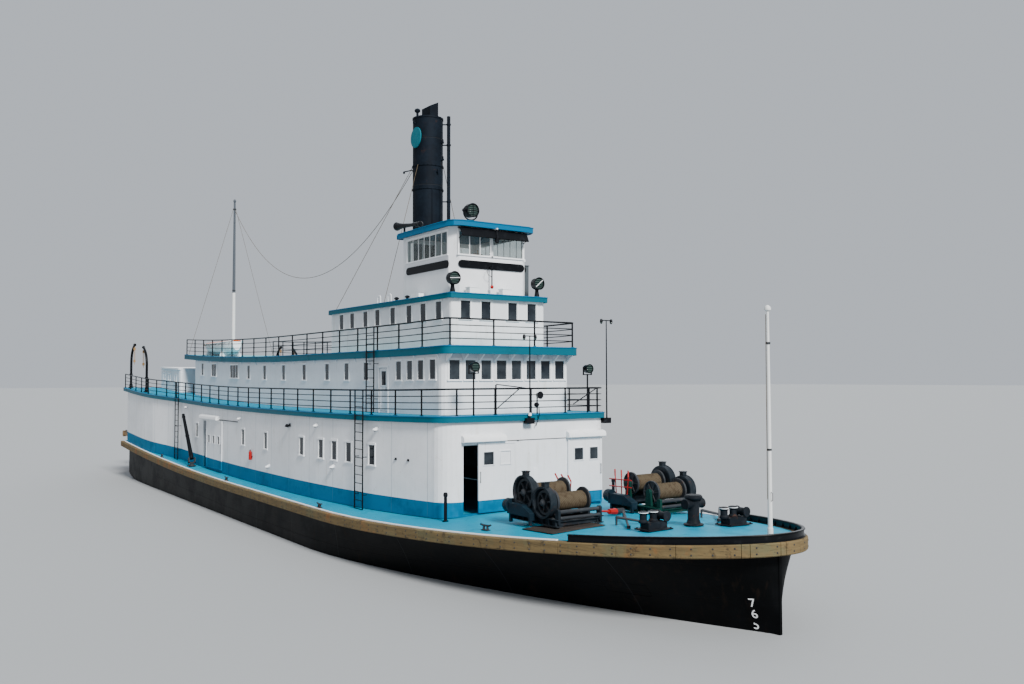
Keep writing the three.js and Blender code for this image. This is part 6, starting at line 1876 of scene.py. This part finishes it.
def king_post():
    post, = shapes(1, -4.3, 0.85, deck_z(-4.3, 0.85) + 0.03)
    post.turned(ORIGIN, UP, [(0, 0.34), (0.04, 0.34), (0.07, 0.24), (0.2, 0.2), (0.86, 0.195), (0.88, 0.29),
        (0.92, 0.31), (0.98, 0.3), (1.02, 0.25)], 32)
    post.turned((0, -0.42, 0.72), TO_PORT, [(0, 0.1), (0.0, 0.17), (0.04, 0.18), (0.08, 0.16), (0.76, 0.16),
        (0.8, 0.18), (0.84, 0.17), (0.84, 0.1)], 24)
    post.become("king_post_body", BOW_IRON, replaces="king_post")


def fairleads(rim):
    """Roller fairleads at the bow; rim takes their worn bright edges."""
    for name, x, y in (("s", -4.45, -0.85), ("p", -3.5, 1.95)):
        z = deck_z(x, y) + 0.03
        lead, = shapes(1, x, y, z)
        rim.at(x, y, z)
        lead.block((-0.35, 0.35), (-0.55, 0.55), (0, 0.04))
        lead.block((-0.2, 0.2), (-0.42, 0.42), (0.04, 0.26))
        for y in (-0.42, 0.02):
            lead.turned((-0.05, y, 0.22), UP, [(0, 0.11), (0.03, 0.16), (0.08, 0.16), (0.13, 0.12),
                (0.28, 0.12), (0.33, 0.16), (0.38, 0.16), (0.4, 0.1)], 26)
            rim.collar((-0.05, y, 0.565), UP, 0.155, 0.168, 0.022, 26, closed=True)
        lead.turned((-0.22, 0.38, 0.42), AHEAD, [(0, 0.1), (0.0, 0.17), (0.05, 0.17), (0.1, 0.13),
            (0.37, 0.13), (0.42, 0.17), (0.47, 0.17), (0.47, 0.1)], 26)
        lead.bolts(0.3, 0.48, (0.03, 0.07), 0.03)
        lead.become(f"fairlead_{name}_rollers", BOW_IRON, replaces=f"fairlead_{name}")


def deck_gear():
    """Bow post, fairleads, cleats, cable stoppers, red lever bar and stained plate under a winch."""
    iron, levers, red, stained, rim = shapes(5)
    king_post()
    fairleads(rim)
    for x, y, turn in ((-9.28, -4.34, 12), (-9.28, 4.34, -12)):
        cleat(iron, x, y, turn)
    for k in (-1, 1):
        for x in (-20.0, -33.0, -47.0):
            cleat(iron, x, k * 6.05, 0)
    for (x0, y0), (x1, y1) in (((-7.3, 0.35), (-5.3, -1.2)), ((-6.2, -0.95), (-5.95, 0.05)),
            ((-6.48, 4.5), (-4.59, 2.4)), ((-5.9, 2.9), (-5.2, 3.7))):
        z0, z1 = deck_z(x0, y0), deck_z(x1, y1)
        levers.bar((x0, y0, z0 + 0.3), (x1, y1, z1 + 0.07), 0.05, 0.04, 8)
        levers.bar((x0, y0, z0 + 0.02), (x0, y0, z0 + 0.32), 0.04, sides=8)
        levers.bar((x1, y1, z1 + 0.02), (x1, y1, z1 + 0.12), 0.07, sides=10)
    floor = deck_z(-8.4, 0.5)
    levers.bar((-8.22, -0.09, floor + 0.02), (-8.22, -0.09, floor + 0.3), 0.04, sides=8)
    red.bar((-8.22, -0.09, floor + 0.28), (-8.4, 0.6, floor + 0.18), 0.035, 0.045, 8)
    red.bar((-8.4, 0.6, floor + 0.18), (-8.5, 1.02, floor + 0.14), 0.1, 0.12, 8)
    levers.bar((-8.5, 1.02, floor + 0.14), (-8.62, 1.49, floor + 0.12), 0.11, sides=8)
    corners = ((-3.5, 0.012), (-3.5, 0.04), (-1.2, 0.04), (-1.2, 0.012))
    stained.skin([[(x, y, deck_z(x, y) + up) for y, up in corners] for x in (-8.25, -7.7, -7.1, -6.5)])
    stained.become("stained_deck_plate", RUSTY)
    iron.become("cleats", IRON)
    rim.become("fairlead_edges", TRIM)
    levers.become("cable_stoppers", IRON)
    red.become("lever_bars", RED)


# Stern

def ring_tree():
    """One part repeated at even turns round the wheel's shaft, which lies athwart the boat."""
    tree = Tree("ring_of_parts", Count=14, Middle=(0.0, 0.0, 0.0))
    line = tree.add("MeshLine", {"Count": "Count", "Offset": (0.0, 0.0, 0.0)}, mode="OFFSET")[0]
    share = tree.math("DIVIDE", tree.add("InputIndex")[0], "Count")
    turn = tree.axes(Y=tree.math("MULTIPLY", share, math.tau))
    return tree.end(tree.move(tree.copies(line, "Geometry", turn), "Middle"))


def bare_mesh(shape):
    """The shape as a mesh round the origin at model size, for a tree to repeat."""
    bmesh.ops.recalc_face_normals(shape.mesh, faces=shape.mesh.faces[:])
    shape.mesh.transform(Matrix.Scale(SCALE, 4))
    data = bpy.data.meshes.new("part")
    shape.mesh.to_mesh(data)
    shape.mesh.free()
    return data


def stern_wheel(tree):
    middle = TO_MODEL @ Vector((WHEEL_X, 0, WHEEL_Z))
    boards, arms, clamps = shapes(3)
    for a in range(4):
        boards.block((3.05 + 0.2 * a, 3.235 + 0.2 * a), (-3.95, 3.95), (-0.013, 0.073))
    for y in (-3.6, 0.0, 3.6):
        arms.block((0.3, 3.8), about(y, 0.06), (-0.09, -0.016))
        for r in (3.15, 3.55):
            clamps.block((r, r + 0.06), about(y, 0.1), (-0.11, -0.09))
            for k in (-1, 1):
                clamps.bar((r + 0.03, y + k * 0.08, -0.12), (r + 0.03, y + k * 0.08, 0.1), 0.018, sides=6)
        clamps.block((0.5, 0.9), about(y, 0.075), (-0.1, 0.0))
        for r in (0.6, 0.8):
            clamps.bar((r, y - 0.1, -0.05), (r, y + 0.1, -0.05), 0.03, sides=6)
    for name, shape, finish, taken in (("buckets", boards, WHEEL_RED, "wheel"),
            ("arms", arms, WHEEL_RED, None), ("clamps", clamps, IRON, None)):
        data = tree.run(bare_mesh(shape), finish, Count=14, Middle=tuple(middle))
        settle("stern_wheel_" + name, data, body="wheel", replaces=taken)
    iron, rims = shapes(2)
    x, z = WHEEL_X, WHEEL_Z
    iron.bar((x, -5.15, z), (x, 5.15, z), 0.2, sides=28)
    for y in (-3.6, 0.0, 3.6):
        iron.turned((x, y - 0.13, z), TO_PORT, [(0, 0.2), (0, 0.28), (0.04, 0.3), (0.06, 0.55), (0.2, 0.55),
            (0.22, 0.3), (0.26, 0.28), (0.26, 0.2)], 28)
    for y in (-3.6, 3.6):
        for r in (2.42, 1.35):
            rims.turned((x, y, z), TO_PORT, [(-0.05, r - 0.11), (-0.05, r + 0.11), (0.05, r + 0.11),
                (0.05, r - 0.11)], 56, closed=True)
    for k in (-1, 1):
        y = k * 5.05
        outline = [(x + a, z + b) for a, b in arc(0.25, 90, 270, 12)]
        outline += [(x + 0.85 + a, z + b) for a, b in arc(0.19, -90, 90, 10)]
        iron.plate(outline, about(y, 0.1))
        iron.bar((x + 0.85, y, z), (x + 0.85, y + k * 0.24, z), 0.12, sides=20)
    iron.become("stern_wheel_shaft", ENGINE, body="wheel")
    rims.become("stern_wheel_rims", WHEEL_RED, body="wheel")


def stern_gear():
    """Bearings, straps and braces of the wheel's beams, tillers and guard across the stern."""
    iron = Shape()
    for k in (-1, 1):
        y = k * BEAM_SIDE
        for x in about(WHEEL_X, 0.47):
            for bolt in about(y, 0.1):
                iron.bar((x, bolt, 2.72), (x, bolt, 3.56), 0.03, sides=8)
        iron.block(about(WHEEL_X, 0.5), about(y, 0.16), (3.515, 3.56))
        for x in (-51.5, -54.0, -56.5, -59.5, -61.2):
            low = (deck_z(x, 4.4) + 0.02) if x > -58.8 else 2.62
            high = (deck_z(x, 4.4) + 0.34) if x > -58.8 else 3.24
            iron.block(about(x, 0.05), about(y, 0.215), (high - 0.01, high + 0.015))
            for s in (-1, 1):
                iron.block(about(x, 0.05), (y + s * 0.2, y + s * 0.215), (low, high))
        py = k * (BEAM_SIDE + 0.82)
        for z in (3.015, 3.285):
            iron.block((-61.5, -59.8), about(py, 0.07), about(z, 0.012))
        for x in (-61.2, -60.6, -60.0):
            iron.bar((x, py, 2.98), (x, py, 3.32), 0.022, sides=6)
    iron.become("beam_straps", IRON)
    top = edge_z(-57.2) - 0.4 - 0.01
    for name, y in (("c", 0.0), ("s", -3.2), ("p", 3.2)):
        blade = Shape()
        outline = [(-58.3, -1.15), (-55.0, -1.15), (-55.0, -0.62), (-55.12, -0.5), (-56.95, -0.5),
            (-56.95, 0.9), (-58.18, 0.9), (-58.3, 0.78)]
        blade.plate(outline, about(y, 0.04))
        blade.bar((-57.2, y, -1.12), (-57.2, y, top), 0.1, sides=18)
        for z in (-0.95, -0.3, 0.3, 0.8):
            end = -55.1 if z < -0.5 else -56.97
            blade.block((-58.28, end), about(y, 0.06), about(z, 0.05))
        blade.become(f"rudder_{name}_blade", HULL_PAINT, body="rudder_" + name, replaces="rudder_" + name,
            bevel=0.008)


def aft_cabin_gear():
    trim, glass = shapes(2)
    for k in (-1, 1):
        for x in (-53.2, -55.0, -56.5):
            window(trim, glass, wall_frame(x, k * 3.6, second_z(x) + 0.75, (0, k)), 0.5, 0.5)
    trim.become("aft_cabin_casings", TRIM)
    glass.become("aft_cabin_panes", PANE)


def engines():
    """Steam pipes and valve gear on the engines, and the boiler's fittings, seen through the doors."""
    iron, brass = shapes(2)
    for k in (-1, 1):
        y = k * 5.42
        iron.bar((-55.4, y, 3.62), (-51.7, y, 3.62), 0.12, sides=14)
        iron.bar((-55.72, y, 3.15), (-56.3, y, 3.15), 0.06, sides=12)
    iron.bar((-32.8, 0, 5.08), (-26.2, 0, 5.08), 0.18, sides=16)
    for y in (-0.5, 0.5):
        brass.turned((-25.98, y, 3.7), AHEAD, [(0, 0.25), (0.05, 0.25), (0.08, 0.1)], 20)
    iron.become("steam_pipes", ENGINE)
    brass.become("fire_doors", BRASS)


# Stage and camera

def stage():
    data = bpy.data.meshes.new("water_floor")
    size, level = 400.0, DRAUGHT * SCALE
    data.from_pydata([(x, y, level) for x, y in ((-size, -size), (size, -size), (size, size), (-size, size))],
        [], [(0, 1, 2, 3)])
    floor = bpy.data.objects.new("water_floor", data)
    bpy.context.scene.collection.objects.link(floor)
    finish = Finish("pale_floor", "a3a6a8", 0.85, sheen=0.1)
    data.materials.append(finish.done())


def light(name, energy, place, angle, colour):
    """A broad sun that shines from a place towards the boat."""
    lamp = bpy.data.lights.new(name, "SUN")
    lamp.energy = energy
    lamp.color = colour
    lamp.angle = angle
    item = bpy.data.objects.new(name, lamp)
    item.location = place
    item.rotation_mode = "QUATERNION"
    item.rotation_quaternion = (-Vector(place)).to_track_quat("-Z", "Y")
    bpy.context.scene.collection.objects.link(item)


def lights():
    world = bpy.data.worlds.new("studio")
    bpy.context.scene.world = world
    world.use_nodes = True
    back = world.node_tree.nodes["Background"]
    back.inputs["Color"].default_value = (0.8, 0.86, 0.94, 1)
    back.inputs["Strength"].default_value = 0.7
    light("key", 5.6, (30, -3, 23), math.radians(14), (1.0, 0.98, 0.95))
    light("fill", 0.8, (-20, 24, 20), math.radians(50), (0.93, 0.96, 1.0))


def camera():
    data = bpy.data.cameras.new("view")
    data.lens = 32.28
    data.sensor_width = 36.0
    data.clip_start, data.clip_end = 0.1, 500.0
    item = bpy.data.objects.new("view", data)
    item.location = (25.45, -11.045, 4.51)
    yaw, pitch, roll = (math.radians(a) for a in (145.344, 2.234, -0.122))
    ahead = Vector((math.cos(pitch) * math.cos(yaw), math.cos(pitch) * math.sin(yaw), math.sin(pitch)))
    item.rotation_mode = "QUATERNION"
    item.rotation_quaternion = ahead.to_track_quat("-Z", "Y") @ Matrix.Rotation(roll, 4, "Z").to_quaternion()
    bpy.context.scene.collection.objects.link(item)
    bpy.context.scene.camera = item


stage()
lights()
camera()
hull().become("hull_shell", HULL_PAINT, replaces="hull")
hull_welds().become("hull_welds", HULL_PAINT)
draft_marks()
guard()
guard_bolts()
bow_rail()
margin_batten()
SECOND_TOP = deck_and_edge("second_deck_paint", "0087a8", "005a6c")
THIRD_TOP = deck_and_edge("third_deck_paint", "6ab0be", "00658a")
ROOF_TOP = deck_and_edge("roof_paint", "8fa6ad", "005c78")
fascia("second_deck", SECOND_EDGE, second_z, EAVE, 0.25, TEAL)
fascia("third_deck", THIRD_EDGE, third_z, EAVE, 0.34, TEAL, 3)
fascia("texas_roof", TEXAS_EDGE, fourth_z, EAVE, 0.24, TEAL, 2)
fascia("pilothouse_roof", PILOT_EDGE, pilot_roof_z, PILOT_EAVE, 0.25, BLUE, 2)
railings(rail_tree())
house_windows()
pilothouse_walls()
pilothouse_windows()
doors()
door_frames()
wall_gear()
front_gear()
pilothouse_gear()
steering_wheel()
lamps()
ladders(ladder_tree())
stack_gear()
mast()
jackstaff()
rigging()
davits()
lifeboat()
boom()
winch("s", -8.45, -1.85, -1, WINCH_DARK)
winch("p", -8.75, 3.2, 1, WINCH_GREEN)
deck_gear()
stern_wheel(ring_tree())
stern_gear()
aft_cabin_gear()
engines()
KEPT = {CYAN: "main_deck", BANDED: "main_house", HOUSE: "second_house texas_house texas_front aft_cabin",
    SECOND_TOP: "second_deck", THIRD_TOP: "third_deck", ROOF_TOP: "texas_roof",
    ENGINE: "boiler engine_s engine_p", BEAM_WHITE: "timber_s timber_p", ARM: "pitman_s pitman_p"}
for finish, nodes in KEPT.items():
    for node in nodes.split():
        for place in frame["nodes"][node].material_slots:
            place.link = "OBJECT"
            place.material = finish
